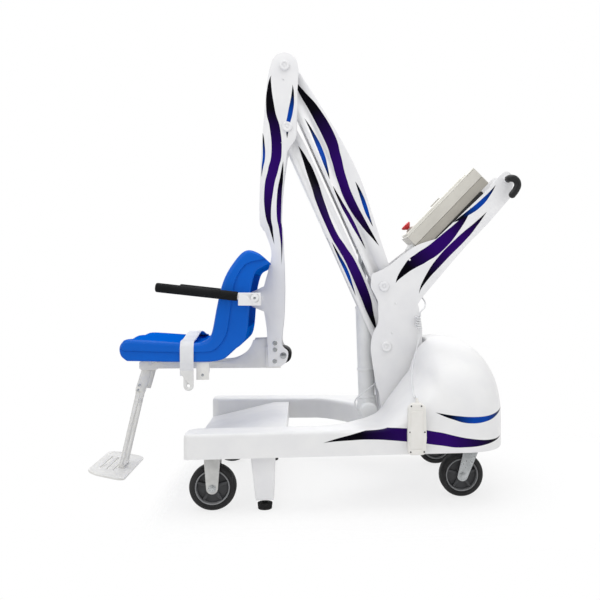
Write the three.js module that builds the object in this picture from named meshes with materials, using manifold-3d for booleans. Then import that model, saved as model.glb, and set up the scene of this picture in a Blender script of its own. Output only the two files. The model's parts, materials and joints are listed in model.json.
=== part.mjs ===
// A portable lift that lowers a seated person over the edge of a swimming pool.
// Sizes are in millimetres, +Z is up, -X is the pool side, and the sitter's left is -Y.
// Side views are drawn in X and Z; x = 0 lies a little behind the arm that hangs from the boom.
import * as THREE from "three";
import { mergeVertices } from "three/addons/utils/BufferGeometryUtils.js";
import Module from "manifold-3d";

const wasm = await Module();
wasm.setup();

// Gaps and small allowances
const gap = 0.3; // between two pieces that touch
const overrun = 2; // how far a cutter passes a face
const sink = 1; // how far a joined piece reaches into its neighbour
const weld = 0.001;
const sides = [
  { name: "left", sign: -1 },
  { name: "right", sign: 1 },
];

// The parallel linkage
const boom = {
  pivot: { x: 309, z: 731 },
  length: 882,
  angle: 114.4, // degrees above +X when raised
  outer: 50, // half its width
  wall: 5,
  above: 89, // greatest height of the side over the pivot line
  below: 30,
  nose: 40, // radius round the top pivot
  heel: 50, // radius round the mast pivot
};
const link = {
  drop: 222, // its pivots lie this far below the boom's
  shift: 9,
  outer: 41,
  wall: 5,
  above: 40,
  below: 32,
  eye: 32,
};
const pin = { radius: 12, cap: 19, capDepth: 9, running: 0.3, side: 1 };

const radians = Math.PI / 180;
const boomTop = {
  x: boom.pivot.x + boom.length * Math.cos(boom.angle * radians),
  z: boom.pivot.z + boom.length * Math.sin(boom.angle * radians),
};
const linkPivot = { x: boom.pivot.x + link.shift, z: boom.pivot.z - link.drop };
const linkTop = { x: boomTop.x + link.shift, z: boomTop.z - link.drop };

// The base
const rail = {
  front: -367, // X of its pool end
  join: 60, // X where the side covers meet the rear cover
  centre: 399, // Y of its centre line at the pool end
  splay: 2.5, // degrees
  width: 116,
  bottom: 183,
  top: 264,
  wall: 4,
  corner: 26, // cut inner corner of the pool end
  edge: 9,
  tube: 96, // width of the steel tube inside
  tubeWall: 5,
  tubeEnd: 540, // X of its rear end
};
const splay = Math.tan(rail.splay * radians);
const railCentre = (x) => rail.centre - splay * (x - rail.front);
const railOuter = (x) => railCentre(x) + rail.width / 2;
const railInner = (x) => railCentre(x) - rail.width / 2;
const tubeTop = rail.top - rail.wall - gap;
const tubeBottom = rail.bottom + gap;

const cover = {
  wall: 4,
  centre: 500, // X of the dome's middle
  rear: 211, // from there to its rear face
  front: 118, // and to its front
  rise: 283, // of the dome over the rails
  roundness: 2.5, // plan exponent
  fullness: 2.4, // side exponent
  tunnel: 100, // half the width of the mast's slot
  tunnelEnd: 462, // X
  neck: 310, // X where the inner edges reach the slot
  levels: 6,
  segments: 32,
};
// How the crest of the hips climbs from the rails, in shares of the way and of the dome's rise
const hipEnd = 500;
const hipShares = [
  [0, 0],
  [0.34, 0],
  [0.43, 0.012],
  [0.514, 0.053],
  [0.596, 0.226],
  [0.705, 0.452],
  [0.814, 0.678],
  [0.87, 0.76],
  [1, 0.8],
];
const hipRows = 5;

const deck = { toe: -363, brow: -109, heel: -46, toeTop: 189, top: 250, wall: 3 };

const frame = {
  plate: 6,
  frontBeam: { low: -104, high: -52 }, // X
  mastBeam: { low: 320, high: 410 },
  rearBeam: { low: 488, high: 538 },
  beamTop: 243,
  foot: { low: 304, high: 446, top: 330 }, // the block between the mast plates
  floor: { low: 470, high: 652, half: 318 },
};

const leg = {
  x: -121,
  y: 366,
  top: 40, // half its length in X at the rail
  toe: 29, // and at the foot
  lean: 6,
  depth: 27,
  toeDepth: 23,
  bottom: 33,
  pad: 25, // radius of the rubber foot
  padTop: 21,
  stem: 10,
};

const wheel = { radius: 76.2, width: 50, rim: 57, hub: 52, boss: 17, bore: 6.6, web: 14, segments: 20 };
const fork = { gap: 4, wall: 5, eye: 19, top: 27, plate: 5, platehalf: 45, axle: 6, head: 11, headDepth: 6 };
const frontCaster = { x: -284, y: 362 };
const rearCaster = { x: 592, y: 255, trail: 32, ring: 36, ringDepth: 12 };

// The mast
const mast = { outer: 82, wall: 6 };
const mastInner = mast.outer - mast.wall;
const mastPlace = { x: 260, z: 196 };
const mastSize = { x: 520, z: 960 };
// The plate's outline in shares of its length and height, from its foot up the pool side
const mastFrontShares = [
  [0.092, 0],
  [0.062, 0.136],
  [0.04, 0.173],
  [0.027, 0.214],
  [0.011, 0.268],
  [0, 0.321],
  [0.013, 0.372],
  [0.05, 0.417],
  [0.053, 0.466],
  [0.05, 0.501],
  [0.013, 0.541],
  [0, 0.56],
  [0.008, 0.602],
  [0.031, 0.61],
  [0.119, 0.633],
  [0.235, 0.682],
  [0.333, 0.717],
  [0.467, 0.741],
];
const mastTopShares = [
  [0.856, 0.941],
  [0.873, 0.955],
  [0.956, 1],
  [1.005, 0.997],
  [1.03, 0.962],
];
const mastRearShares = [
  [0.998, 0.898],
  [0.831, 0.795],
  [0.706, 0.727],
  [0.638, 0.686],
  [0.498, 0.598],
  [0.35, 0.501],
  [0.344, 0.474],
  [0.365, 0.403],
  [0.367, 0.36],
  [0.36, 0],
];

// The control box lies along the mast's head
const box = {
  angle: 46, // degrees above +X
  start: 932, // along its own length, from the origin of the side view
  length: 361,
  floor: 270, // across its length, from the same origin
  depth: 77,
  half: 72,
  wall: 4,
  lid: 13,
  lidLength: 300,
  lidInset: 7,
  lidRim: 5,
};
const tray = { start: 1004, end: 1250, depth: 12 };
const battery = { length: 180, depth: 52, half: 50, inset: 34 };
const gland = { radius: 9, length: 26, spread: 34, nut: 12, nutDepth: 8 };
const stop = {
  along: 26,
  y: -34,
  cap: 20,
  flare: 23,
  rise: 15,
  stem: 9,
  stemRise: 22,
  collar: 15,
  collarDepth: 4,
};

const handle = {
  x: 768,
  z: 1128,
  radius: 11,
  grip: 13.5,
  reach: 126, // half the distance between the grips' middles
  bend: 24,
};
// The drop of one grip in shares of its own length
const gripDrop = 70;
const gripShares = [
  [0.08, 0],
  [0.28, -0.05],
  [0.42, -0.3],
  [0.3, -0.64],
  [0.04, -0.97],
];

// The drive
const drive = {
  x: 255,
  z: 222,
  boomAlong: 156, // its top pin along the boom, from the mast pivot
  boomAcross: -12.6,
  tube: 31,
  tubeStart: 92,
  tubeEnd: 436,
  collar: 35,
  housing: 36,
  housingStart: 26,
  rod: 14,
  eye: 22,
  eyeHalf: 15,
  lugHalf: 13,
  lugGap: 1,
  motor: 34,
  motorX: 1,
  motorZ: 44, // above the lower pin
  motorFront: 71, // Y of its cap
  stroke: 181, // room that the rod needs to slide in
  cable: 2.5,
};

// The drive's cable leaves the motor's side and passes over the tube's near side
const cableRoute = [
  [221.4, -45, 268],
  [212, -46, 272],
  [204, -48, 290],
  [206, -51, 308],
  [222, -54, 326],
  [246, -53, 344],
  [270, -46, 360],
  [284, -28, 371],
  [283, -10, 378],
];

// The hanging arm and the chair
const arm = { outer: 81, wall: 5, round: 48 };
const armInner = arm.outer - arm.wall;
// The edges in shares of the arm's height, from the top pivot down: X and Z
const armHeight = 1096;
const armFoot = 438.22; // height of its foot over the chair's origin
const armSplit = -0.53; // the edge above this share keeps to the top pivot, and the rest to the chair
const armFrontShares = [
  [-0.042, 0.013],
  [-0.055, -0.038],
  [-0.064, -0.125],
  [-0.071, -0.21],
  [-0.079, -0.331],
  [-0.083, -0.512],
  [-0.068, -0.545],
  [-0.048, -0.598],
  [-0.044, -0.631],
  [-0.05, -0.663],
  [-0.068, -0.729],
];
const armLowFrontShares = [
  [-0.069, -0.812],
  [-0.06, -0.872],
  [-0.058, -0.913],
  [-0.054, -1],
];
// The ear round the armrests' bar, in shares of the bar's radius
const gussetShares = [
  [1.5, 2.7],
  [-1.5, 1.28],
  [-1.5, -2.18],
  [1.5, -3.45],
];
const armRearShares = [
  [-0.014, -1],
  [0.005, -0.984],
  [0.011, -0.951],
  [-0.01, -0.921],
  [-0.003, -0.828],
  [-0.001, -0.711],
  [-0.008, -0.545],
  [-0.012, -0.511],
  [-0.007, -0.408],
  [0.007, -0.297],
  [0.012, -0.279],
  [0.037, -0.24],
  [0.04, -0.203],
  [0.042, -0.135],
  [0.043, -0.082],
  [0.047, -0.01],
];

// The chair's own origin in the side view hangs from the arm's top pivot
const hang = { ahead: 55.36, drop: 1534.22 };
const chairAt = { x: boomTop.x + hang.ahead, z: boomTop.z - hang.drop };

const seat = {
  front: chairAt.x - 616,
  rear: chairAt.x - 104,
  bottom: chairAt.z + 470,
  height: 386,
  half: 230,
  edge: 7,
  wall: 7,
  drain: 6,
  drainX: chairAt.x - 440,
  inset: 16, // how far the carrier stays inside the seat's sides
  beside: 19, // from the seat's side to an armrest
  beltShare: 0.182, // height of the seat's top under the belt
};
// The seat's side outline in shares of its depth and height, from under the nose
const seatShares = [
  [0.05, 0.012],
  [0.012, 0.055],
  [0, 0.125],
  [0.02, 0.18],
  [0.062, 0.205],
  [0.27, 0.188],
  [0.42, 0.173],
  [0.53, 0.173],
  [0.585, 0.205],
  [0.613, 0.27],
  [0.645, 0.495],
  [0.674, 0.667],
  [0.711, 0.79],
  [0.766, 0.904],
  [0.82, 0.982],
  [0.867, 1],
  [0.926, 0.972],
  [0.973, 0.922],
  [1, 0.886],
  [0.95, 0.85],
  [0.906, 0.812],
  [0.883, 0.73],
  [0.867, 0.618],
  [0.859, 0.469],
  [0.846, 0.27],
  [0.82, 0.17],
  [0.748, 0.095],
  [0.68, 0.02],
  [0.52, 0],
];
// The hollow behind the backrest, in shares of the seat
const pocket = { deep: 0.735, lean: 0.06, low: 0.3, high: 0.79 };
const pocketHalf = seat.half - 44;
const lipNotch = 12;

// The bar carries the two armrests behind the seat
const bar = { x: chairAt.x - 153, z: chairAt.z + 691, radius: 15, endRadius: 10.5, washer: 13.5 };
const armrestHalf = 13;
const armrest = {
  y: seat.half + seat.beside + armrestHalf,
  half: armrestHalf,
  front: chairAt.x - 209,
  rear: chairAt.x - 133,
  bottom: chairAt.z + 665,
  top: chairAt.z + 709,
  tube: 11,
  grip: 16,
  end: chairAt.x - 478,
  rise: 6.4, // degrees
};

const chassis = {
  outer: 68, // half the width of the seat's carrier
  wall: 5,
  bottom: chairAt.z + 433,
  front: chairAt.x - 580,
  rear: chairAt.x - 71,
  depth: 24,
  // The cross plate that carries the seat, and the plate ahead of it
  rest: { low: chairAt.x - 360, high: chairAt.x - 310, half: seat.half - seat.inset },
  tab: { drop: 62, low: chairAt.x - 357, high: chairAt.x - 314 },
  shelf: { low: chairAt.x - 556, high: chairAt.x - 500, half: 150 },
};
const gussetRise = 106;
const gussetBack = 201.4; // from the carrier's rear end to the middle of the gusset's sweep
const roller = { x: chairAt.x - 61, z: chairAt.z + 478, radius: 30, half: 58, axle: 6, nut: 10.2 };

const belt = {
  x: chairAt.x - 390,
  width: 52,
  thick: 3,
  bottom: chairAt.z + 424,
  tab: 52,
  tongue: 17.3, // half the width of the end that is bolted on
  hole: 5.8,
  clear: 0.5,
};

const footrest = {
  pivot: { x: chairAt.x - 582, z: chairAt.z + 372 },
  pivotRise: 26, // over the foot of its bracket
  y: 44,
  bar: 9,
  barWall: 7,
  end: { x: chairAt.x - 652, z: chairAt.z + 70 },
  bracket: 5,
  bolt: 6,
  plate: 7,
  plateAhead: 25, // from the legs to the middle of the foot plate
  plateHalf: 67,
  plateWide: 186,
  corner: 53.6, // round front corners
  slotHalf: 2.3,
  slotShares: [-0.55, -0.2, 0.15],
  tieShares: [0.2, 0.25],
  slotWide: 93,
};
const bracketShares = [
  [0.07, 1],
  [1, 0.81],
  [0.72, 0.1],
  [0.55, 0],
  [-0.32, 0.05],
  [-0.3, 0.16],
];
const bracketDepth = 62;

// The hand control on its cord
const handset = { low: 346, high: 408, y: 426.5, depth: 29.5, bottom: 181, top: 353, edge: 10 };
// The cord leaves the box, comes out behind the mast, hangs in a few curls and lies over the cover
const cord = {
  radius: 2.6,
  lift: 3.6, // its middle off the cover
  aboveSteps: 22,
  belowSteps: 36,
};
const curl = { x: 434, y: -95, top: 622, count: 5, radius: 8, pitch: 9, steps: 8, sides: 5 };
const cordAbove = [
  [393, -34, 848],
  [396, -34, 800],
  [410, -34, 760],
  [432, -38, 722],
  [452, -50, 694],
  [464, -70, 672],
  [458, -90, 652],
];
// Places in plan where the cord lies on the cover, then the ones where it hangs free
const cordOnCover = [
  [424, -116],
  [410, -142],
  [398, -186],
  [389, -240],
  [383, -300],
  [380, -346],
];
const cordFree = [
  [378, -392, 362],
  [377, -426, 374],
  [377, -440, 366],
];

const finishes = {
  white: { color: 0xf1f1f2, roughness: 0.32, metalness: 0.05 },
  zinc: { color: 0xb9bcbd, roughness: 0.35, metalness: 0.85 },
  iron: { color: 0x3a3b3d, roughness: 0.7, metalness: 0.4 },
  steel: { color: 0xcfd2d4, roughness: 0.25, metalness: 0.9 },
  black: { color: 0x161617, roughness: 0.65, metalness: 0 },
  rubber: { color: 0x1b1c1d, roughness: 0.8, metalness: 0 },
  hub: { color: 0x3c3d40, roughness: 0.5, metalness: 0.1 },
  blue: { color: 0x0b5fd0, roughness: 0.22, metalness: 0 },
  grey: { color: 0xc4c3be, roughness: 0.45, metalness: 0 },
  red: { color: 0xc01824, roughness: 0.4, metalness: 0 },
  web: { color: 0xeef0f3, roughness: 0.8, metalness: 0 },
};

// Solids

function toSolid(geometry) {
  const bare = new THREE.BufferGeometry();
  bare.setAttribute("position", geometry.getAttribute("position"));
  bare.setIndex(geometry.index);
  const merged = mergeVertices(bare, weld);
  return new wasm.Manifold(
    new wasm.Mesh({
      numProp: 3,
      vertProperties: new Float32Array(merged.attributes.position.array),
      triVerts: new Uint32Array(merged.index.array),
    }),
  );
}

function toGeometry(solid) {
  const mesh = solid.getMesh();
  const geometry = new THREE.BufferGeometry();
  geometry.setAttribute("position", new THREE.BufferAttribute(mesh.vertProperties, 3));
  geometry.setIndex(new THREE.BufferAttribute(mesh.triVerts, 1));
  geometry.computeVertexNormals();
  return geometry;
}

const join = (...pieces) => toGeometry(pieces.map(toSolid).reduce((a, b) => a.add(b)));

function cut(piece, ...tools) {
  return toGeometry(tools.map(toSolid).reduce((a, b) => a.subtract(b), toSolid(piece)));
}

function block(xLow, xHigh, yLow, yHigh, zLow, zHigh) {
  const geometry = new THREE.BoxGeometry(xHigh - xLow, yHigh - yLow, zHigh - zLow);
  return geometry.translate((xLow + xHigh) / 2, (yLow + yHigh) / 2, (zLow + zHigh) / 2);
}

// A flat plate in the side view between two values of Y
function plate(outline, yA, yB, bevel = 0) {
  const shape = new THREE.Shape(outline.map(([x, z]) => new THREE.Vector2(x, z)));
  const depth = Math.abs(yB - yA) - 2 * bevel;
  const options = { depth, bevelEnabled: bevel > 0, bevelThickness: bevel, bevelSize: bevel };
  options.bevelOffset = -bevel;
  options.bevelSegments = 2;
  const geometry = new THREE.ExtrudeGeometry(shape, options);
  return geometry.rotateX(Math.PI / 2).translate(0, Math.max(yA, yB) - bevel, 0);
}

// A plate seen from above, between two heights
function slab(outline, zLow, zHigh) {
  const shape = new THREE.Shape(outline.map(([x, y]) => new THREE.Vector2(x, y)));
  return new THREE.ExtrudeGeometry(shape, { depth: zHigh - zLow, bevelEnabled: false }).translate(0, 0, zLow);
}

function rod(x, z, radius, yA, yB, segments = 16) {
  const geometry = new THREE.CylinderGeometry(radius, radius, Math.abs(yB - yA), segments);
  return geometry.translate(x, (yA + yB) / 2, z);
}

function upright(x, y, radius, zLow, zHigh, segments = 20, topRadius = radius) {
  const geometry = new THREE.CylinderGeometry(topRadius, radius, zHigh - zLow, segments);
  return geometry.rotateX(Math.PI / 2).translate(x, y, (zLow + zHigh) / 2);
}

// A ring or wheel turned about a line along Y; the profile holds radii and places along the line
function turned(profile, x, y, z, segments = 24) {
  const points = profile.map(([radius, along]) => new THREE.Vector2(radius, along));
  return new THREE.LatheGeometry(points, segments).translate(x, y, z);
}

function tube(points, radius, steps, segments = 8, tension = 0.5) {
  const section = new THREE.Shape();
  section.setFromPoints(circle(0, 0, radius, segments).map(([x, y]) => new THREE.Vector2(x, y)));
  const path = new THREE.CatmullRomCurve3(points, false, "catmullrom", tension);
  return new THREE.ExtrudeGeometry(section, { steps, extrudePath: path, bevelEnabled: false });
}

function circle(x, z, radius, segments, from = 0, to = 360) {
  const closed = to - from >= 360;
  const count = closed ? segments : segments + 1;
  return Array.from({ length: count }, (_, i) => {
    const angle = (from + ((to - from) * i) / segments) * radians;
    return [x + radius * Math.cos(angle), z + radius * Math.sin(angle)];
  });
}

// A smooth stretch of outline through the points
function smooth(points, perPoint = 2) {
  const curve = new THREE.SplineCurve(points.map(([x, z]) => new THREE.Vector2(x, z)));
  return curve.getPoints((points.length - 1) * perPoint).map((p) => [p.x, p.y]);
}

const scaled = (shares, x, z, sizeX, sizeZ) => shares.map(([u, v]) => [x + u * sizeX, z + v * sizeZ]);

// A closed solid from rings of points, lowest first, each running anticlockwise from above
function stack(rings) {
  const count = rings[0].length;
  const positions = rings.flat(2);
  const faces = [];
  for (let k = 0; k + 1 < rings.length; k++) {
    for (let j = 0; j < count; j++) {
      const next = (j + 1) % count;
      const [a, b, c, d] = [k * count + j, k * count + next, (k + 1) * count + next, (k + 1) * count + j];
      faces.push(a, b, c, a, c, d);
    }
  }
  const top = (rings.length - 1) * count;
  for (let j = 1; j + 1 < count; j++) {
    faces.push(0, j + 1, j, top, top + j, top + j + 1);
  }
  const geometry = new THREE.BufferGeometry();
  geometry.setAttribute("position", new THREE.Float32BufferAttribute(positions, 3));
  geometry.setIndex(faces);
  return geometry;
}

// Placing along the boom's and the control box's own directions

const along = (angle) => ({ x: Math.cos(angle * radians), z: Math.sin(angle * radians) });

function frameAt(origin, angle) {
  const u = along(angle);
  return (s, n) => [origin.x + u.x * s + u.z * n, origin.z + u.z * s - u.x * n];
}

// Base

function railOutline(side, inset, xLow, xHigh) {
  const half = rail.width / 2 - inset;
  const corner = Math.max(rail.corner - inset, 0);
  const points = [
    [xLow, railCentre(xLow) + half - rail.edge],
    [xLow + rail.edge, railCentre(xLow) + half],
    [xHigh, railCentre(xHigh) + half],
    [xHigh, railCentre(xHigh) - half],
    [xLow + corner, railCentre(xLow) - half],
    [xLow, railCentre(xLow) - half + corner],
  ];
  const placed = points.map(([x, y]) => [x, side * y]);
  return side > 0 ? placed.reverse() : placed;
}

function railCover(side) {
  const outer = slab(railOutline(side, 0, rail.front, rail.join - gap), rail.bottom, rail.top);
  const inner = slab(
    railOutline(side, rail.wall, rail.front + rail.wall, rail.join + overrun),
    rail.bottom - overrun,
    rail.top - rail.wall,
  );
  return cut(outer, inner, crossBeam(frame.frontBeam, gap));
}

function railTube(side, inset, xLow, xHigh) {
  const half = rail.tube / 2 - inset;
  const outline = [
    [xLow, side * (railCentre(xLow) - half)],
    [xHigh, side * (railCentre(xHigh) - half)],
    [xHigh, side * (railCentre(xHigh) + half)],
    [xLow, side * (railCentre(xLow) + half)],
  ];
  return slab(side > 0 ? outline : outline.reverse(), tubeBottom + inset, tubeTop - inset);
}

function crossBeam({ low, high }, grow = 0) {
  const reach = railCentre(high) - rail.tube / 2 + rail.tubeWall / 2;
  return block(low - grow, high + grow, -reach, reach, tubeBottom - grow, frame.beamTop + grow);
}

function weldedFrame() {
  const tubeFront = rail.front + rail.wall + rail.corner;
  const tubes = sides.map(({ sign }) =>
    cut(
      railTube(sign, 0, tubeFront, rail.tubeEnd),
      railTube(sign, rail.tubeWall, tubeFront - overrun, rail.tubeEnd - rail.tubeWall),
    ),
  );
  const { foot, floor } = frame;
  const footHalf = mastInner - gap;
  const lugHalf = drive.eyeHalf + drive.lugGap;
  const lugs = sides.map(({ sign }) =>
    join(
      block(
        drive.x,
        foot.low + overrun,
        Math.min(sign * lugHalf, sign * (lugHalf + drive.lugHalf)),
        Math.max(sign * lugHalf, sign * (lugHalf + drive.lugHalf)),
        drive.z - drive.eye,
        drive.z + drive.eye,
      ),
      rod(drive.x, drive.z, drive.eye, sign * lugHalf, sign * (lugHalf + drive.lugHalf)),
    ),
  );
  const lugPin = rod(drive.x, drive.z, pin.radius, -lugHalf - overrun, lugHalf + overrun);
  const footBlock = block(foot.low, foot.high, -footHalf, footHalf, tubeBottom, foot.top);
  const footSpace = block(
    foot.low + frame.plate * 2,
    foot.high - frame.plate * 2,
    -footHalf + frame.plate * 2,
    footHalf - frame.plate * 2,
    frame.beamTop,
    foot.top + overrun,
  );
  const floorTop = tubeBottom + frame.plate;
  const floorPlate = block(floor.low, floor.high, -floor.half, floor.half, tubeBottom, floorTop);
  const spineEnd = frame.rearBeam.low + overrun;
  const spine = block(foot.high - overrun, spineEnd, -footHalf, footHalf, tubeBottom, frame.beamTop);
  return join(
    ...tubes,
    crossBeam(frame.frontBeam),
    crossBeam(frame.mastBeam),
    crossBeam(frame.rearBeam),
    cut(footBlock, footSpace),
    spine,
    floorPlate,
    ...lugs,
    lugPin,
    ...sides.map(({ sign }) => stabiliser(sign)),
  );
}

// The dome of the rear cover, made smaller all round by the inset
function dome(inset, bottom) {
  const ring = (share, z) =>
    Array.from({ length: cover.segments }, (_, j) => {
      const angle = (2 * Math.PI * j) / cover.segments;
      const [c, s] = [Math.cos(angle), Math.sin(angle)];
      const reach = (c > 0 ? cover.rear : cover.front) - inset;
      const half = railOuter(cover.centre) - inset;
      const power = 2 / cover.roundness;
      return [
        cover.centre + Math.sign(c) * reach * share * Math.abs(c) ** power,
        Math.sign(s) * half * share * Math.abs(s) ** power,
        z,
      ];
    });
  const rings = [ring(1, bottom)];
  for (let k = 0; k <= cover.levels; k++) {
    const angle = (Math.PI / 2) * Math.min(k / cover.levels, 0.985);
    const share = Math.cos(angle) ** (2 / cover.fullness);
    rings.push(ring(share, rail.top + (cover.rise - inset) * Math.sin(angle) ** (2 / cover.fullness)));
  }
  return stack(rings);
}

// Inner edge of the rear cover in plan: it leaves the rail and sweeps in to the mast's slot
function hipInner(x) {
  const t = Math.min(Math.max((x - rail.join) / (cover.neck - rail.join), 0), 1);
  const swing = (1 - Math.cos(Math.PI * t)) / 2;
  return railInner(rail.join) + (cover.tunnel - railInner(rail.join)) * swing;
}

// One hip: a solid under the crest from the rail up to the dome
function hip(side, inset, bottom, xLow) {
  const rows = hipShares.map(([u, v], i) => {
    const x = i === 0 ? xLow : rail.join + u * (hipEnd - rail.join);
    const [inner, outer] = [hipInner(x) + inset, railOuter(x) - inset];
    return Array.from({ length: hipRows + 1 }, (_, j) => {
      const t = side > 0 ? j / hipRows : 1 - j / hipRows;
      const y = inner + (outer - inner) * Math.sin((t * Math.PI) / 2);
      const share = Math.min((y + inset) / railOuter(x), 1);
      const fall = (1 - share ** cover.fullness) ** (1 / cover.fullness);
      return [x, side * y, rail.top - inset + v * cover.rise * fall];
    });
  });
  return terrain(rows, bottom);
}

// Height of the cover's surface over a place in plan
function coverTop(x, y) {
  const u = Math.min(Math.max((x - rail.join) / (hipEnd - rail.join), 0), 1);
  const i = hipShares.findIndex(([share], k) => k > 0 && share >= u);
  const [[u0, v0], [u1, v1]] = [hipShares[i - 1], hipShares[i]];
  const crest = v0 + ((v1 - v0) * (u - u0)) / (u1 - u0);
  const fall = (share) => Math.max(1 - share ** cover.fullness, 0) ** (1 / cover.fullness);
  const onHip = crest * fall(Math.min(Math.abs(y) / railOuter(x), 1));
  const reach = x > cover.centre ? cover.rear : cover.front;
  const across = (Math.abs(y) / railOuter(cover.centre)) ** cover.roundness;
  const share = (Math.abs((x - cover.centre) / reach) ** cover.roundness + across) ** (1 / cover.roundness);
  return rail.top + cover.rise * Math.max(onHip, fall(Math.min(share, 1)));
}

// Height of the middle of a ball that rests on the cover over a place in plan
function restingHeight(x, y, radius) {
  const rings = [0, radius * 0.5, radius * 0.85, radius];
  const heights = rings.flatMap((reach) =>
    circle(x, y, reach, 12).map(([px, py]) => coverTop(px, py) + Math.sqrt(radius ** 2 - reach ** 2)),
  );
  return Math.max(...heights);
}

// A closed solid under a grid of points, whose rows run along +X and whose points run along +Y
function terrain(rows, bottom) {
  const [m, n] = [rows.length, rows[0].length];
  const tops = rows.flat();
  const positions = [...tops, ...tops.map(([x, y]) => [x, y, bottom])].flat();
  const top = (i, j) => i * n + j;
  const low = (i, j) => m * n + i * n + j;
  const faces = [];
  const quad = (a, b, c, d) => faces.push(a, b, c, a, c, d);
  for (let i = 0; i + 1 < m; i++) {
    for (let j = 0; j + 1 < n; j++) {
      quad(top(i, j), top(i + 1, j), top(i + 1, j + 1), top(i, j + 1));
      quad(low(i, j), low(i, j + 1), low(i + 1, j + 1), low(i + 1, j));
    }
    quad(low(i, 0), low(i + 1, 0), top(i + 1, 0), top(i, 0));
    quad(low(i + 1, n - 1), low(i, n - 1), top(i, n - 1), top(i + 1, n - 1));
  }
  for (let j = 0; j + 1 < n; j++) {
    quad(low(0, j + 1), low(0, j), top(0, j), top(0, j + 1));
    quad(low(m - 1, j), low(m - 1, j + 1), top(m - 1, j + 1), top(m - 1, j));
  }
  const geometry = new THREE.BufferGeometry();
  geometry.setAttribute("position", new THREE.Float32BufferAttribute(positions, 3));
  geometry.setIndex(faces);
  return geometry;
}

function rearCover() {
  const roof = rail.top + cover.rise + overrun;
  const slotLow = cover.centre - cover.front - overrun;
  const slot = (grow) => {
    const half = cover.tunnel + grow;
    return block(slotLow, cover.tunnelEnd + grow, -half, half, rail.bottom - overrun * 2, roof);
  };
  const shellOf = (inset, bottom, xLow) =>
    join(dome(inset, bottom), ...sides.map(({ sign }) => hip(sign, inset, bottom, xLow)));
  const outer = cut(shellOf(0, rail.bottom, rail.join), slot(0));
  const inner = cut(shellOf(cover.wall, rail.bottom - overrun, rail.join - overrun), slot(cover.wall));
  return cut(outer, inner, crossBeam(frame.mastBeam, gap), spineSpace());
}

function spineSpace() {
  return block(
    frame.foot.low,
    frame.rearBeam.low,
    -mastInner - gap,
    mastInner + gap,
    rail.bottom - overrun,
    frame.beamTop + gap,
  );
}

function noseDeck() {
  const half = (x) => railInner(x) - gap;
  const profile = (inset, low) => [
    [deck.toe + inset * 3, low],
    [deck.heel - inset, low],
    [deck.heel - inset, deck.top - inset],
    [deck.brow, deck.top - inset],
    [deck.toe + inset * 3, deck.toeTop - inset],
  ];
  const width = half(deck.toe) + overrun;
  const outer = plate(profile(0, rail.bottom), -width, width);
  const clear = half(deck.heel) - deck.wall;
  const inner = plate(profile(deck.wall, rail.bottom - overrun), -clear, clear);
  const plan = [
    [deck.toe - overrun, -half(deck.toe - overrun)],
    [deck.heel + overrun, -half(deck.heel + overrun)],
    [deck.heel + overrun, half(deck.heel + overrun)],
    [deck.toe - overrun, half(deck.toe - overrun)],
  ];
  const trim = slab(plan, rail.bottom - overrun * 2, deck.top + overrun);
  const trimmed = toGeometry(toSolid(outer).intersect(toSolid(trim)));
  return cut(trimmed, inner, crossBeam(frame.frontBeam, gap));
}

const weights = { low: 548, high: 648, inner: 20, outer: 232, slabs: 5, slab: 40, groove: 3, lip: 4 };

// A stack of iron slabs held together by its two tie bars, shown as grooves between the slabs
function counterweight(side) {
  const bottom = tubeBottom + frame.plate + gap;
  const [yA, yB] = [side * weights.inner, side * weights.outer];
  const [yLow, yHigh] = [Math.min(yA, yB), Math.max(yA, yB)];
  const core = block(
    weights.low + weights.lip,
    weights.high - weights.lip,
    yLow + weights.lip,
    yHigh - weights.lip,
    bottom,
    bottom + weights.slabs * weights.slab - weights.groove,
  );
  const slabs = Array.from({ length: weights.slabs }, (_, i) => {
    const z = bottom + i * weights.slab;
    return block(weights.low, weights.high, yLow, yHigh, z, z + weights.slab - weights.groove);
  });
  return join(core, ...slabs);
}

function stabiliser(side) {
  const ring = (x, half, depth, z) => {
    const [yLow, yHigh] = [side * leg.y - depth, side * leg.y + depth];
    return [
      [x - half, yLow, z],
      [x + half, yLow, z],
      [x + half, yHigh, z],
      [x - half, yHigh, z],
    ];
  };
  return stack([
    ring(leg.x + leg.lean, leg.toe, leg.toeDepth, leg.bottom),
    ring(leg.x, leg.top, leg.depth, tubeBottom + rail.tubeWall / 2),
  ]);
}

function rubberFoot(side) {
  const x = leg.x + leg.lean;
  return join(
    upright(x, side * leg.y, leg.pad - leg.stem / 3, 0, leg.padTop, 20, leg.pad),
    upright(x, side * leg.y, leg.stem, leg.padTop - overrun, leg.bottom - gap),
  );
}

// Castors

const forkInside = wheel.width / 2 + fork.gap;
const forkTop = tubeBottom - gap;

function forkCheek(side) {
  const outline = [
    [fork.top, forkTop - fork.plate / 2],
    [-fork.top, forkTop - fork.plate / 2],
    ...circle(0, wheel.radius, fork.eye, 10, 180, 360),
  ];
  return plate(outline.reverse(), side * forkInside, side * (forkInside + fork.wall));
}

function axleBolt(x) {
  const reach = forkInside + fork.wall;
  return join(
    rod(x, wheel.radius, fork.axle, -reach - overrun, reach + overrun, 16),
    rod(x, wheel.radius, fork.head, -reach - fork.headDepth, -reach + overrun / 2, 6),
    rod(x, wheel.radius, fork.head, reach - overrun / 2, reach + fork.headDepth, 6),
  );
}

function rigidFork() {
  const half = forkInside + fork.wall;
  return join(
    forkCheek(-1),
    forkCheek(1),
    block(-fork.platehalf, fork.platehalf, -half, half, forkTop - fork.plate, forkTop),
    axleBolt(0),
  );
}

function swivelTop() {
  return join(
    block(-fork.platehalf, fork.platehalf, -fork.platehalf, fork.platehalf, forkTop - fork.plate, forkTop),
    upright(0, 0, rearCaster.ring, forkTop - fork.plate - rearCaster.ringDepth / 2, forkTop - overrun, 24),
  );
}

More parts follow.
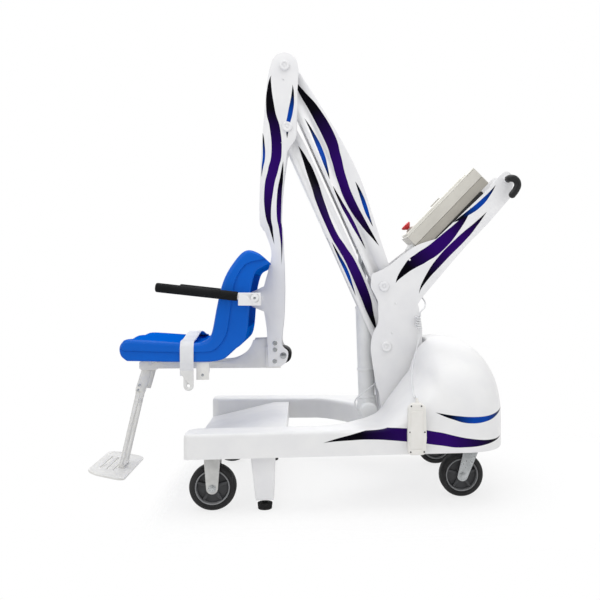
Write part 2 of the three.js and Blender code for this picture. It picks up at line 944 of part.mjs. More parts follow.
function swivelFork() {
  const crown = forkTop - fork.plate - rearCaster.ringDepth / 2 - gap;
  const half = forkInside + fork.wall;
  const shift = crown - forkTop;
  const cheek = (side) => {
    const outline = [
      [fork.top, crown - fork.plate / 2],
      [-fork.top, crown - fork.plate / 2],
      ...circle(-rearCaster.trail, wheel.radius, fork.eye, 10, 180, 360),
    ];
    return plate(outline.reverse(), side * forkInside, side * (forkInside + fork.wall));
  };
  return join(
    cheek(-1),
    cheek(1),
    upright(0, 0, half, forkTop + shift - fork.plate, crown, 24),
    axleBolt(-rearCaster.trail),
  );
}

function tyre() {
  const [half, r] = [wheel.width / 2, wheel.radius];
  const shoulder = half / 3;
  const profile = [
    [wheel.rim, -half + shoulder / 2],
    [wheel.rim + shoulder, -half],
    [r - shoulder / 2, -half + shoulder / 2],
    [r, -half + shoulder * 1.5],
    [r, half - shoulder * 1.5],
    [r - shoulder / 2, half - shoulder / 2],
    [wheel.rim + shoulder, half],
    [wheel.rim, half - shoulder / 2],
    [wheel.rim, -half + shoulder / 2],
  ];
  return turned(profile, 0, 0, 0, wheel.segments);
}

function hub() {
  const half = (wheel.width - wheel.web) / 2;
  const reach = forkInside - gap;
  const profile = [
    [wheel.bore, -reach],
    [wheel.boss, -reach],
    [wheel.boss, -wheel.web / 2],
    [wheel.hub, -wheel.web / 2],
    [wheel.hub, -half],
    [wheel.rim - gap, -half],
    [wheel.rim - gap, half],
    [wheel.hub, half],
    [wheel.hub, wheel.web / 2],
    [wheel.boss, wheel.web / 2],
    [wheel.boss, reach],
    [wheel.bore, reach],
    [wheel.bore, -reach],
  ];
  return turned(profile, 0, 0, 0, wheel.segments);
}

// Mast

function mastPlate(side) {
  const at = (shares) => scaled(shares, mastPlace.x, mastPlace.z, mastSize.x, mastSize.z);
  const outline = [...smooth(at(mastFrontShares), 1), ...at(mastTopShares), ...smooth(at(mastRearShares), 1)];
  const solid = plate(outline, side * mastInner, side * mast.outer);
  const [from, to] = [side * (mastInner - overrun), side * (mast.outer + overrun)];
  const hole = (place, radius) => rod(place.x, place.z, radius, from, to);
  return cut(
    solid,
    hole(boom.pivot, pin.radius + gap),
    hole(linkPivot, pin.radius + gap),
    hole({ x: handle.x, z: handle.z }, handle.radius + gap),
    crossBeam(frame.mastBeam, gap),
  );
}

function pivotPin(place, reach) {
  return join(
    rod(place.x, place.z, pin.radius, -reach - pin.capDepth / 2, reach + pin.capDepth / 2),
    ...sides.map(({ sign }) =>
      rod(place.x, place.z, pin.cap, sign * (reach + gap), sign * (reach + pin.capDepth)),
    ),
  );
}

// The collars that keep a swinging piece in the middle of a pin
function collars(place, from, to, radius) {
  return sides.map(({ sign }) => rod(place.x, place.z, radius, sign * from, sign * to));
}

const boxDirection = along(box.angle);
const boxPoint = (s, n) => [boxDirection.x * s - boxDirection.z * n, boxDirection.z * s + boxDirection.x * n];

function boxBlock(sLow, sHigh, nLow, nHigh, yLow, yHigh) {
  const corners = [
    [sLow, nLow],
    [sHigh, nLow],
    [sHigh, nHigh],
    [sLow, nHigh],
  ];
  const outline = corners.map(([s, n]) => boxPoint(s, n));
  return plate(outline, yLow, yHigh);
}

// A turned piece whose line stands across the control box, at a place along its length
function boxTurned(profile, s, n, y, segments = 20) {
  const [x, z] = boxPoint(s, n);
  const geometry = turned(profile, 0, 0, 0, segments);
  return geometry.rotateX(Math.PI / 2).rotateY(-box.angle * radians).translate(x, y, z);
}

const boxTop = box.floor + box.depth;
const boxEnd = box.start + box.length;

function controlBody() {
  const { wall, half } = box;
  const outer = boxBlock(box.start, boxEnd, box.floor, boxTop - gap, -half, half);
  const clear = half - wall;
  const inner = boxBlock(box.start + wall, boxEnd - wall, box.floor + wall, boxTop + overrun, -clear, clear);
  const places = [-gland.spread, 0, gland.spread];
  const glands = places.flatMap((y) => {
    const n = box.floor + box.depth / 2;
    const [x, z] = boxPoint(box.start - gland.length / 2 + overrun / 2, n);
    const stem = new THREE.CylinderGeometry(gland.radius, gland.radius, gland.length, 16);
    const nut = new THREE.CylinderGeometry(gland.nut, gland.nut, gland.nutDepth, 6);
    nut.translate(0, gland.length / 2 - gland.nutDepth / 2 - overrun / 2, 0);
    const turn = box.angle * radians - Math.PI / 2;
    return [stem, nut].map((g) => g.rotateZ(turn).rotateX(Math.PI / 2).translate(x, y, z));
  });
  return { shell: cut(outer, inner), glands };
}

function controlLid() {
  const { half, lid, lidInset, lidRim } = box;
  return join(
    boxBlock(box.start, boxEnd, boxTop, boxTop + lidRim, -half, half),
    boxBlock(
      box.start + lidInset,
      box.start + box.lidLength,
      boxTop + lidRim / 2,
      boxTop + lid,
      -half + lidInset,
      half - lidInset,
    ),
  );
}

function stopButton() {
  const base = boxTop + box.lid + stop.collarDepth + gap;
  const profile = [
    [0, 0],
    [stop.stem, 0],
    [stop.stem, stop.stemRise - stop.rise],
    [stop.flare, stop.stemRise - stop.rise + stop.rise / 5],
    [stop.cap, stop.stemRise - stop.rise / 6],
    [stop.cap / 2, stop.stemRise],
    [0, stop.stemRise],
  ];
  return boxTurned(profile, box.start + stop.along + box.lidInset, base, stop.y, 24);
}

function stopCollar() {
  const bore = stop.stem + gap;
  const profile = [
    [bore, 0],
    [stop.collar, 0],
    [stop.collar, stop.collarDepth],
    [bore, stop.collarDepth],
    [bore, 0],
  ];
  return boxTurned(profile, box.start + stop.along + box.lidInset, boxTop + box.lid - gap / 2, stop.y);
}

function stopWell() {
  const bore = stop.stem + gap;
  const profile = [
    [0, 0],
    [bore, 0],
    [bore, stop.collarDepth * 2],
    [0, stop.collarDepth * 2],
  ];
  const base = boxTop + box.lid - stop.collarDepth;
  return boxTurned(profile, box.start + stop.along + box.lidInset, base, stop.y);
}

function batteryPack() {
  const start = boxEnd - box.wall - battery.inset - battery.length;
  const low = box.floor + box.wall + gap;
  return boxBlock(start, start + battery.length, low, low + battery.depth, -battery.half, battery.half);
}

function trayPlate() {
  const half = mastInner - gap;
  return boxBlock(tray.start, tray.end, box.floor - tray.depth - gap, box.floor - gap, -half, half);
}

function gripPath(side) {
  const drop = gripShares.map(
    ([u, v]) => new THREE.Vector3(handle.x + u * gripDrop, side * handle.reach, handle.z + v * gripDrop),
  );
  const start = new THREE.Vector3(handle.x, side * (handle.reach - handle.bend), handle.z);
  const straight = start.clone().add(new THREE.Vector3(0, (side * handle.bend) / 3, 0));
  return [start, straight, ...drop];
}

function pushGrip(side) {
  return tube(gripPath(side), handle.grip, 14, 10);
}

function handleBar() {
  const reach = handle.reach - handle.bend - gap;
  return rod(handle.x, handle.z, handle.radius, -reach, reach, 20);
}

// Drive

const topPin = (() => {
  const [x, z] = frameAt(boom.pivot, boom.angle)(drive.boomAlong, drive.boomAcross);
  return { x, z };
})();
const driveLength = Math.hypot(topPin.x - drive.x, topPin.z - drive.z);
const driveAngle = Math.atan2(topPin.z - drive.z, topPin.x - drive.x);

// A turned piece round the drive's own line
function onDrive(profile, segments = 20) {
  const geometry = turned(profile, 0, 0, 0, segments);
  return geometry.rotateX(Math.PI / 2).rotateY(Math.PI / 2 - driveAngle).translate(drive.x, 0, drive.z);
}

function driveBody() {
  const bore = drive.rod + gap;
  const body = onDrive([
    [0, drive.housingStart],
    [drive.housing - overrun, drive.housingStart],
    [drive.housing, drive.housingStart + overrun],
    [drive.housing, drive.tubeStart - drive.cable * 2],
    [drive.collar, drive.tubeStart],
    [drive.tube, drive.tubeStart + drive.cable * 2],
    [drive.tube, drive.tubeEnd],
    [0, drive.tubeEnd],
  ]);
  const well = onDrive([
    [0, drive.tubeStart],
    [bore, drive.tubeStart],
    [bore, drive.tubeEnd + overrun],
    [0, drive.tubeEnd + overrun],
  ]);
  const clevis = rod(drive.x, drive.z, drive.eye, -drive.eyeHalf, drive.eyeHalf);
  const neck = onDrive([
    [0, 0],
    [drive.eyeHalf, 0],
    [drive.eyeHalf, drive.housingStart + overrun],
    [0, drive.housingStart + overrun],
  ]);
  const bored = rod(drive.x, drive.z, pin.radius + gap, -drive.eyeHalf - overrun, drive.eyeHalf + overrun);
  return cut(join(cut(body, well), clevis, neck), bored);
}

const motorPlace = { x: drive.x + drive.motorX, z: drive.z + drive.motorZ };

function driveMotor() {
  const rim = drive.motor / 6;
  const front = -drive.motorFront;
  const back = -drive.eyeHalf - drive.lugGap - drive.lugHalf - overrun;
  const profile = [
    [0, front],
    [drive.motor - rim, front],
    [drive.motor, front + rim],
    [drive.motor, back],
    [0, back],
  ];
  return turned(profile, motorPlace.x, 0, motorPlace.z);
}

function driveRod() {
  const end = driveLength;
  const shaft = onDrive([
    [0, drive.tubeStart + drive.stroke],
    [drive.rod, drive.tubeStart + drive.stroke],
    [drive.rod, end - drive.eye / 2],
    [0, end - drive.eye / 2],
  ]);
  const half = link.outer - link.wall - overrun;
  return join(
    shaft,
    rod(topPin.x, topPin.z, drive.eye, -drive.eyeHalf, drive.eyeHalf),
    rod(topPin.x, topPin.z, pin.radius - overrun, -half, half),
  );
}

// Boom and link

// The edge of one side plate over and under its pivot line, in shares of length and height
const boomTopShares = [
  [0.02, 0.6],
  [0.09, 0.62],
  [0.18, 0.71],
  [0.31, 0.86],
  [0.455, 1],
  [0.617, 0.94],
  [0.8, 0.73],
  [0.93, 0.53],
];
const boomWebShares = { from: 0.12, to: 0.9 };

function boomOutline() {
  const at = frameAt(boom.pivot, boom.angle);
  const top = boomTopShares.map(([u, v]) => at(u * boom.length, v * boom.above));
  const heel = circle(0, 0, 1, 6, 215, 100).map(([c, s]) => at(c * boom.heel, s * boom.heel));
  const nose = circle(0, 0, 1, 6, 70, -50).map(([c, s]) => at(boom.length + c * boom.nose, s * boom.nose));
  const underside = [at(boom.length * 0.9, -boom.below), at(boom.heel, -boom.below)];
  return [...heel, ...smooth(top, 1), ...nose, ...underside];
}

function boomChannel() {
  const at = frameAt(boom.pivot, boom.angle);
  const inner = boom.outer - boom.wall;
  const outline = boomOutline();
  const plates = sides.map(({ sign }) => plate(outline, sign * inner, sign * boom.outer));
  const edge = smooth(boomTopShares.map(([u, v]) => [u * boom.length, v * boom.above]), 2).filter(
    ([s]) => s > boomWebShares.from * boom.length && s < boomWebShares.to * boom.length,
  );
  const webTop = edge.map(([s, n]) => at(s, n - overrun / 4));
  const webUnder = edge.reverse().map(([s, n]) => at(s, n - boom.wall));
  const web = plate(
    [...webTop, ...webUnder],
    -inner - overrun,
    inner + overrun,
  );
  const hole = (place) => rod(place.x, place.z, pin.radius + pin.running, -mast.outer, mast.outer);
  const from = boom.outer - overrun / 2;
  const ends = [
    ...collars(boom.pivot, from, mastInner - pin.side, pin.cap),
    ...collars(boomTop, from, armInner - pin.side, pin.cap),
  ];
  return cut(join(...plates, web, ...ends), hole(boom.pivot), hole(boomTop));
}

function lowerLink() {
  const at = frameAt(linkPivot, boom.angle);
  const inner = link.outer - link.wall;
  const outline = [
    ...circle(0, 0, 1, 8, 250, 110).map(([c, s]) => at(c * link.eye, s * link.eye)),
    at(link.eye * 2, link.above),
    at(boom.length - link.eye * 2, link.above * 0.9),
    ...circle(0, 0, 1, 8, 70, -70).map(([c, s]) => at(boom.length + c * link.eye, s * link.eye)),
    at(boom.length - link.eye * 2, -link.below * 0.9),
    at(link.eye * 2, -link.below),
  ];
  const plates = sides.map(({ sign }) => plate(outline, sign * inner, sign * link.outer));
  const webShares = [0.52, 0.9];
  const web = plate(
    [
      at(webShares[0] * boom.length, -link.below + link.wall),
      at(webShares[1] * boom.length, -link.below + link.wall),
      at(webShares[1] * boom.length, -link.below + overrun),
      at(webShares[0] * boom.length, -link.below + overrun),
    ],
    -inner - overrun,
    inner + overrun,
  );
  const hole = (place) => rod(place.x, place.z, pin.radius + pin.running, -mast.outer, mast.outer);
  const from = link.outer - overrun / 2;
  const ends = [
    ...collars(linkPivot, from, mastInner - pin.side, pin.cap),
    ...collars(linkTop, from, armInner - pin.side, pin.cap),
  ];
  return cut(join(...plates, web, ...ends), hole(linkPivot), hole(linkTop));
}

// Chair

function armPlate(side) {
  const at = (shares) =>
    shares.map(([u, v]) => [
      boomTop.x + u * armHeight,
      v > armSplit ? boomTop.z + v * armHeight : chairAt.z + armFoot + (1 + v) * armHeight,
    ]);
  const gusset = gussetShares.map(([u, v]) => [bar.x + u * bar.radius, bar.z + v * bar.radius]);
  const outline = [
    ...circle(boomTop.x, boomTop.z, arm.round, 12, 0, 160),
    ...smooth(at(armFrontShares), 1),
    ...gusset,
    ...smooth(at(armLowFrontShares), 1),
    ...smooth(at(armRearShares), 1),
  ];
  const solid = plate(outline, side * armInner, side * arm.outer);
  const [from, to] = [side * (armInner - overrun), side * (arm.outer + overrun)];
  const hole = (place, radius) => rod(place.x, place.z, radius, from, to);
  return cut(
    solid,
    hole(boomTop, pin.radius + gap),
    hole(linkTop, pin.radius + gap),
    hole(bar, bar.radius + gap),
    hole(roller, roller.axle + gap),
  );
}

function chairFrame() {
  const { outer, wall, bottom, front, rear, depth, rest, tab, shelf } = chassis;
  const inner = outer - wall;
  const top = bottom + depth;
  const seatFloor = seat.bottom - gap;
  const sweep = circle(rear - gussetBack, bottom + gussetRise + depth, gussetRise, 6, 270, 345);
  const outline = [
    [front, bottom],
    [rear, bottom],
    [rear, bottom + gussetRise],
    ...sweep.reverse().filter(([x]) => x < rear - depth),
    [front, top],
  ];
  const spacer = armInner - gap;
  const cheeks = sides.map(({ sign }) => plate(outline, sign * inner, sign * outer));
  const padTop = top + gussetRise / 2;
  const padFront = rear - gussetRise / 2;
  const pads = sides.map(({ sign }) => {
    const [yLow, yHigh] = [Math.min(sign * inner, sign * spacer), Math.max(sign * inner, sign * spacer)];
    return block(padFront, rear, yLow, yHigh, bottom, padTop);
  });
  const risers = [rest, shelf].map(({ low, high, half }) =>
    join(
      block(low, high, -half, half, seatFloor - wall, seatFloor),
      block((low + high) / 2 - wall, (low + high) / 2 + wall, -half, half, top - overrun, seatFloor - sink),
    ),
  );
  const tabs = sides.map(({ sign }) => {
    const ends = [sign * rest.half, sign * (rest.half - wall)];
    const [yLow, yHigh] = [Math.min(...ends), Math.max(...ends)];
    return block(tab.low, tab.high, yLow, yHigh, seatFloor - tab.drop, seatFloor - sink);
  });
  const nose = block(front, front + wall, -outer, outer, bottom, top);
  const tie = block(padFront, padFront + wall, -inner - overrun, inner + overrun, bottom, padTop);
  return join(...cheeks, ...pads, ...risers, ...tabs, nose, tie);
}

// The outline moved inwards by the distance; the outline runs anticlockwise
function shrink(outline, distance) {
  return outline.map(([x, z], i) => {
    const [ax, az] = outline[(i + outline.length - 1) % outline.length];
    const [bx, bz] = outline[(i + 1) % outline.length];
    const length = Math.hypot(bx - ax, bz - az);
    return [x - (distance * (bz - az)) / length, z + (distance * (bx - ax)) / length];
  });
}

// The space behind the backrest, made larger all round by the growth
function seatPocket(grow) {
  const depth = seat.rear - seat.front;
  const at = (share) => seat.front + share * depth - grow;
  const low = seat.bottom + pocket.low * seat.height - grow;
  const high = seat.bottom + pocket.high * seat.height + grow;
  const outline = [
    [at(pocket.deep), low],
    [seat.rear + overrun + grow, low],
    [seat.rear + overrun + grow, high],
    [at(pocket.deep + pocket.lean), high],
    [at(pocket.deep + pocket.lean / 2), (high + low) / 2],
  ];
  return plate(outline, -pocketHalf - grow, pocketHalf + grow);
}

function seatShell() {
  const outline = scaled(seatShares, seat.front, seat.bottom, seat.rear - seat.front, seat.height);
  const body = plate(outline, -seat.half, seat.half, seat.edge);
  const wide = seat.half - seat.wall;
  const space = cut(plate(shrink([...outline].reverse(), seat.wall), -wide, wide), seatPocket(seat.wall));
  const [drainLow, drainTop] = [seat.bottom - overrun, seat.bottom + seat.wall * 2];
  const drains = sides.map(({ sign }) =>
    upright(seat.drainX, (sign * seat.half) / 2, seat.drain, drainLow, drainTop, 12),
  );
  const lip = block(
    seat.rear - lipNotch,
    seat.rear + overrun,
    -arm.outer - overrun,
    arm.outer + overrun,
    seat.bottom + pocket.high * seat.height,
    seat.bottom + seat.height,
  );
  const lipSpace = cut(space, lip);
  return cut(body, seatPocket(0), lip, lipSpace, ...drains);
}

function lapBelt() {
  const z = seat.bottom + seat.beltShare * seat.height + belt.clear;
  const half = seat.half + belt.clear;
  const round = seat.edge;
  const path = (grow) => [
    [-half - grow, belt.bottom],
    ...circle(-half + round, z - round, round + grow, 4, 180, 90),
    ...circle(half - round, z - round, round + grow, 4, 90, 0),
    [half + grow, belt.bottom],
  ];
  const outline = [...path(belt.thick), ...path(0).reverse()];
  const shape = new THREE.Shape(outline.map(([y, height]) => new THREE.Vector2(y, height)));
  const ribbon = new THREE.ExtrudeGeometry(shape, { depth: belt.width, bevelEnabled: false });
  ribbon.rotateX(Math.PI / 2).rotateZ(Math.PI / 2).translate(belt.x - belt.width / 2, 0, 0);
  const tongues = sides.map(({ sign }) => {
    const x = belt.x + belt.width / 2 - belt.tongue;
    const z = belt.bottom - belt.tab + belt.tongue;
    const end = [
      [x - belt.tongue, belt.bottom + overrun],
      ...circle(x, z, belt.tongue, 8, 180, 360),
      [x + belt.tongue, belt.bottom + overrun],
    ];
    const tongue = plate(end, sign * half, sign * (half + belt.thick));
    const [holeFrom, holeTo] = [sign * (half - overrun), sign * (half + belt.thick + overrun)];
    return cut(tongue, rod(x, z, belt.hole, holeFrom, holeTo, 12));
  });
  return join(ribbon, ...tongues);
}

function armrestFrame(side) {
  const { y, half, front, rear, bottom, top } = armrest;
  const yLow = side * y - half;
  const cheek = block(front, rear, yLow, yLow + half * 2, bottom, top);
  const hole = rod(bar.x, bar.z, bar.endRadius + gap, side * y - half - overrun, side * y + half + overrun);
  const start = new THREE.Vector3(front + overrun, side * y, top - half);
  return cut(join(cheek, armTube(start, armrest.tube, armrest.end)), hole);
}

// A round bar from a place on the armrest's cheek forwards to an end, at the armrest's own slope
function armTube(start, radius, endX) {
  const length = (start.x - endX) / Math.cos(armrest.rise * radians);
  const geometry = new THREE.CylinderGeometry(radius, radius, length, 20).rotateZ(Math.PI / 2);
  geometry.translate(-length / 2, 0, 0).rotateY(armrest.rise * radians);
  return geometry.translate(start.x, start.y, start.z);
}

function armrestGrip(side) {
  const slope = Math.tan(armrest.rise * radians);
  const back = gap + armrest.grip * slope;
  const start = new THREE.Vector3(armrest.front - back, side * armrest.y, armrest.top - armrest.half);
  start.z += (overrun + back) * slope;
  const sleeve = armTube(start, armrest.grip, armrest.end - armrest.grip / 2);
  const inside = new THREE.Vector3(armrest.front + overrun, side * armrest.y, armrest.top - armrest.half);
  return cut(sleeve, armTube(inside, armrest.tube + gap, armrest.end - gap));
}

function armrestBar() {
  const inner = armrest.y - armrest.half - gap;
  const outer = armrest.y + armrest.half;
  return join(
    rod(bar.x, bar.z, bar.radius, -inner, inner),
    rod(bar.x, bar.z, bar.endRadius, -outer - overrun, outer + overrun),
    ...sides.map(({ sign }) =>
      rod(bar.x, bar.z, bar.washer, sign * (outer + gap), sign * (outer + pin.capDepth / 2), 20),
    ),
  );
}

function wallRoller() {
  const bevel = roller.radius / 5;
  const profile = [
    [roller.axle + gap, -roller.half],
    [roller.radius - bevel, -roller.half],
    [roller.radius, -roller.half + bevel],
    [roller.radius, roller.half - bevel],
    [roller.radius - bevel, roller.half],
    [roller.axle + gap, roller.half],
    [roller.axle + gap, -roller.half],
  ];
  return turned(profile, roller.x, 0, roller.z, 24);
}

function rollerAxle() {
  return join(
    rod(roller.x, roller.z, roller.axle, -arm.outer - overrun, arm.outer + overrun, 16),
    ...sides.map(({ sign }) =>
      rod(roller.x, roller.z, roller.nut, sign * (arm.outer + gap), sign * (arm.outer + roller.axle), 6),
    ),
  );
}

function footBracket() {
  const place = { x: chassis.front + chassis.wall / 2, z: footrest.pivot.z - footrest.pivotRise };
  const outline = scaled(bracketShares, place.x, place.z, bracketDepth, chassis.bottom - gap - place.z);
  const inner = footrest.y + footrest.barWall / 2 + gap;
  const ears = sides.map(({ sign }) => plate(outline, sign * inner, sign * (inner + footrest.bracket)));
  const top = block(
    chassis.front + chassis.wall,
    chassis.front + bracketDepth * 0.95,
    -chassis.outer,
    chassis.outer,
    chassis.bottom - footrest.bracket,
    chassis.bottom + overrun,
  );
  const boltReach = inner + footrest.bracket + footrest.bolt;
  return join(
    ...ears,
    top,
    rod(footrest.pivot.x, footrest.pivot.z, footrest.bolt, -boltReach, boltReach, 16),
  );
}

function footLegs() {
  const { pivot, end, y, bar: half, barWall } = footrest;
  const length = Math.hypot(end.x - pivot.x, end.z - pivot.z);
  const at = frameAt(pivot, (Math.atan2(end.z - pivot.z, end.x - pivot.x) / radians));
  const outline = [
    ...circle(0, 0, 1, 8, 270, 90).map(([c, s]) => at(c * half, s * half)),
    at(length, half),
    at(length, -half),
  ];
  const legs = sides.map(({ sign }) =>
    plate(outline, sign * y - barWall / 2, sign * y + barWall / 2),
  );
  const [tieLow, tieHigh] = footrest.tieShares.map((share) => share * length);
  const rung = [at(tieHigh, -half / 2), at(tieHigh, half / 2), at(tieLow, half / 2), at(tieLow, -half / 2)];
  const tie = plate(rung, -y, y);
  const toe = [at(length, -half), at(length, half), at(length - half, half), at(length - half, -half)];
  const low = plate(toe, -y, y);
  const hole = rod(pivot.x, pivot.z, footrest.bolt + gap, -y - overrun * 3, y + overrun * 3);
  return cut(join(...legs, tie, low), hole);
}

function footPlate() {
  const { plateHalf, plateWide, plate: thick, corner, slotHalf, slotWide } = footrest;
  const outline = [
    ...circle(plateHalf - corner / 2, plateWide - corner / 2, corner / 2, 4, 0, 90),
    ...circle(-plateHalf + corner, plateWide - corner, corner, 5, 90, 180),
    ...circle(-plateHalf + corner, -plateWide + corner, corner, 5, 180, 270),
    ...circle(plateHalf - corner / 2, -plateWide + corner / 2, corner / 2, 4, 270, 360),
  ];
  const slots = footrest.slotShares.map((share) =>
    slab(
      [
        [share * plateHalf - slotHalf, -slotWide],
        [share * plateHalf + slotHalf, -slotWide],
        [share * plateHalf + slotHalf, slotWide],
        [share * plateHalf - slotHalf, slotWide],
      ],
      -thick - overrun,
      overrun,
    ),
  );
  const { pivot, end, plateAhead } = footrest;
  const length = Math.hypot(end.x - pivot.x, end.z - pivot.z);
  const down = { x: (end.x - pivot.x) / length, z: (end.z - pivot.z) / length };
  const flat = cut(slab(outline, -thick, 0), ...slots).rotateY(-Math.asin(down.x));
  const [x, z] = [end.x + down.x * gap + down.z * plateAhead, end.z + down.z * gap - down.x * plateAhead];
  return flat.translate(x, 0, z);
}

// Hand control

function handControl() {
  const { low, high, y, depth, bottom, top, edge } = handset;
  const outline = [
    [low + edge, bottom],
    [high - edge, bottom],
    [high, bottom + edge],
    [high, top - edge],
    [high - edge, top],
    [low + edge, top],
    [low, top - edge],
    [low, bottom + edge],
  ];
  return plate(outline, -y, -y - depth, edge / 4);
}

const places = (points) => points.map(([x, y, z]) => new THREE.Vector3(x, y, z));

const curlBottom = curl.top - curl.count * curl.pitch;
const curlEnd = (z) => new THREE.Vector3(curl.x + curl.radius, curl.y, z);
const lead = cord.radius * 2;

function cordUpper() {
  const n = box.floor + box.depth / 2;
  const [x, z] = boxPoint(box.start - gland.length + overrun / 2 - gap, n);
  const start = new THREE.Vector3(x, -gland.spread, z);
  const end = curlEnd(curl.top + lead + gap);
  const above = end.clone().add(new THREE.Vector3(0, 0, lead * 1.5));
  return tube([start, ...places(cordAbove), above, end], cord.radius, cord.aboveSteps);
}

function cordLower() {
  const start = curlEnd(curlBottom - lead - gap);
  const under = start.clone().add(new THREE.Vector3(0, 0, -lead * 1.5));
  const onCover = cordOnCover.map(([x, y]) => [x, y, restingHeight(x, y, cord.lift)]);
  const middle = -handset.y - handset.depth / 2;
  const end = new THREE.Vector3((handset.low + handset.high) / 2, middle, handset.top + gap);
  return tube([start, under, ...places(onCover), ...places(cordFree), end], cord.radius, cord.belowSteps);
}

function cordCurls() {
  const turns = Array.from({ length: curl.count * curl.steps + 1 }, (_, i) => {
    const angle = (2 * Math.PI * i) / curl.steps;
    return new THREE.Vector3(
      curl.x + curl.radius * Math.cos(angle),
      curl.y + curl.radius * Math.sin(angle),
      curl.top - (curl.pitch * i) / curl.steps,
    );
  });
  const line = [curlEnd(curl.top + lead), ...turns, curlEnd(curlBottom - lead)];
  const least = leastGap(line, cord.radius, curl.steps / 2);
  console.log(`least gap between the cord's curls: ${least.toFixed(2)} mm`);
  return tube(line, cord.radius, line.length - 1, curl.sides);
}

// The smallest space between stretches of one tube that are more than a few steps apart
function leastGap(line, radius, apart) {
  let least = Infinity;
  for (let i = 0; i < line.length; i++) {
    for (let j = i + apart; j < line.length; j++) {
      least = Math.min(least, line[i].distanceTo(line[j]));
    }
  }
  return least - 2 * radius;
}

function driveCable() {
  return tube(places(cableRoute), drive.cable, 14, 6);
}

// Assembly

const lift = new THREE.Group();

function add(name, geometry, finish, place = lift) {
  const mesh = new THREE.Mesh(geometry, new THREE.MeshStandardMaterial(finishes[finish]));
  mesh.name = name;
  place.add(mesh);
  return mesh;
}

function group(x, y, z) {
  const made = new THREE.Group();
  made.position.set(x, y, z);
  lift.add(made);
  return made;
}

add("base_frame", weldedFrame(), "white");
add("rear_cover", rearCover(), "white");
add("nose_deck", noseDeck(), "white");
for (const { name, sign } of sides) {
  add(`rail_cover_${name}`, railCover(sign), "white");
  add(`counterweight_${name}`, counterweight(sign), "iron");
  add(`rubber_foot_${name}`, rubberFoot(sign), "rubber");
  add(`mast_plate_${name}`, mastPlate(sign), "white");
  add(`push_grip_${name}`, pushGrip(sign), "black");

  const front = group(frontCaster.x, sign * frontCaster.y, 0);
  add(`front_fork_${name}`, rigidFork(), "zinc", front);
  const rear = group(rearCaster.x, sign * rearCaster.y, 0);
  add(`swivel_plate_${name}`, swivelTop(), "zinc", rear);
  add(`swivel_fork_${name}`, swivelFork(), "zinc", rear);
  const wheels = [
    { place: front, x: 0, label: "front" },
    { place: rear, x: -rearCaster.trail, label: "rear" },
  ];
  for (const { place, x, label } of wheels) {
    const axle = new THREE.Group();
    axle.position.set(x, 0, wheel.radius);
    place.add(axle);
    add(`${label}_tyre_${name}`, tyre(), "rubber", axle);
    add(`${label}_hub_${name}`, hub(), "hub", axle);
  }
}

const control = controlBody();
add("control_box", join(control.shell, ...control.glands), "grey");
add("control_lid", join(cut(controlLid(), stopWell()), stopCollar()), "white");
add("battery", batteryPack(), "black");
add("box_tray", trayPlate(), "white");
add("stop_button", stopButton(), "red");
add("handle_bar", handleBar(), "white");
add("boom_pin", pivotPin(boom.pivot, mast.outer), "white");
add("link_pin", pivotPin(linkPivot, mast.outer), "white");

add("drive_body", join(driveBody(), driveMotor()), "white");
add("drive_cable", driveCable(), "white");
add("drive_rod", driveRod(), "steel");

add("boom", boomChannel(), "white");
add("lower_link", lowerLink(), "white");

for (const { name, sign } of sides) {
  add(`arm_plate_${name}`, armPlate(sign), "white");
  add(`armrest_${name}`, armrestFrame(sign), "white");
  add(`armrest_grip_${name}`, armrestGrip(sign), "black");
}
add("arm_top_pin", pivotPin(boomTop, arm.outer), "white");
add("arm_link_pin", pivotPin(linkTop, arm.outer), "white");
add("armrest_bar", armrestBar(), "white");
add("chair_frame", join(chairFrame(), footBracket()), "white");
add("seat_shell", seatShell(), "blue");
add("lap_belt", lapBelt(), "web");
add("wall_roller", wallRoller(), "rubber");
add("roller_axle", rollerAxle(), "zinc");
add("foot_legs", footLegs(), "white");
add("foot_plate", footPlate(), "white");

add("hand_control", handControl(), "white");
add("cord_upper", cordUpper(), "white");
add("cord_curls", cordCurls(), "white");
add("cord_lower", cordLower(), "white");

// The part stands on z = 0, centred over its own length and width
const extent = new THREE.Box3().setFromObject(lift);
lift.position.set(-(extent.min.x + extent.max.x) / 2, -(extent.min.y + extent.max.y) / 2, -extent.min.z);
const part = new THREE.Group();
part.add(lift);

export default part;
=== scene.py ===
"""Looks of a pool patient lift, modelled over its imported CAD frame.

Sizes are in millimetres of the side view: X runs from the pool to the push handle, Z up,
and the sitter's left is at negative Y. Each sub-assembly is a class that builds and dresses its pieces.
"""

import json
import logging
import math
from dataclasses import dataclass, replace
from enum import Enum
from typing import Optional, Sequence

import bpy
from mathutils import Matrix, Vector

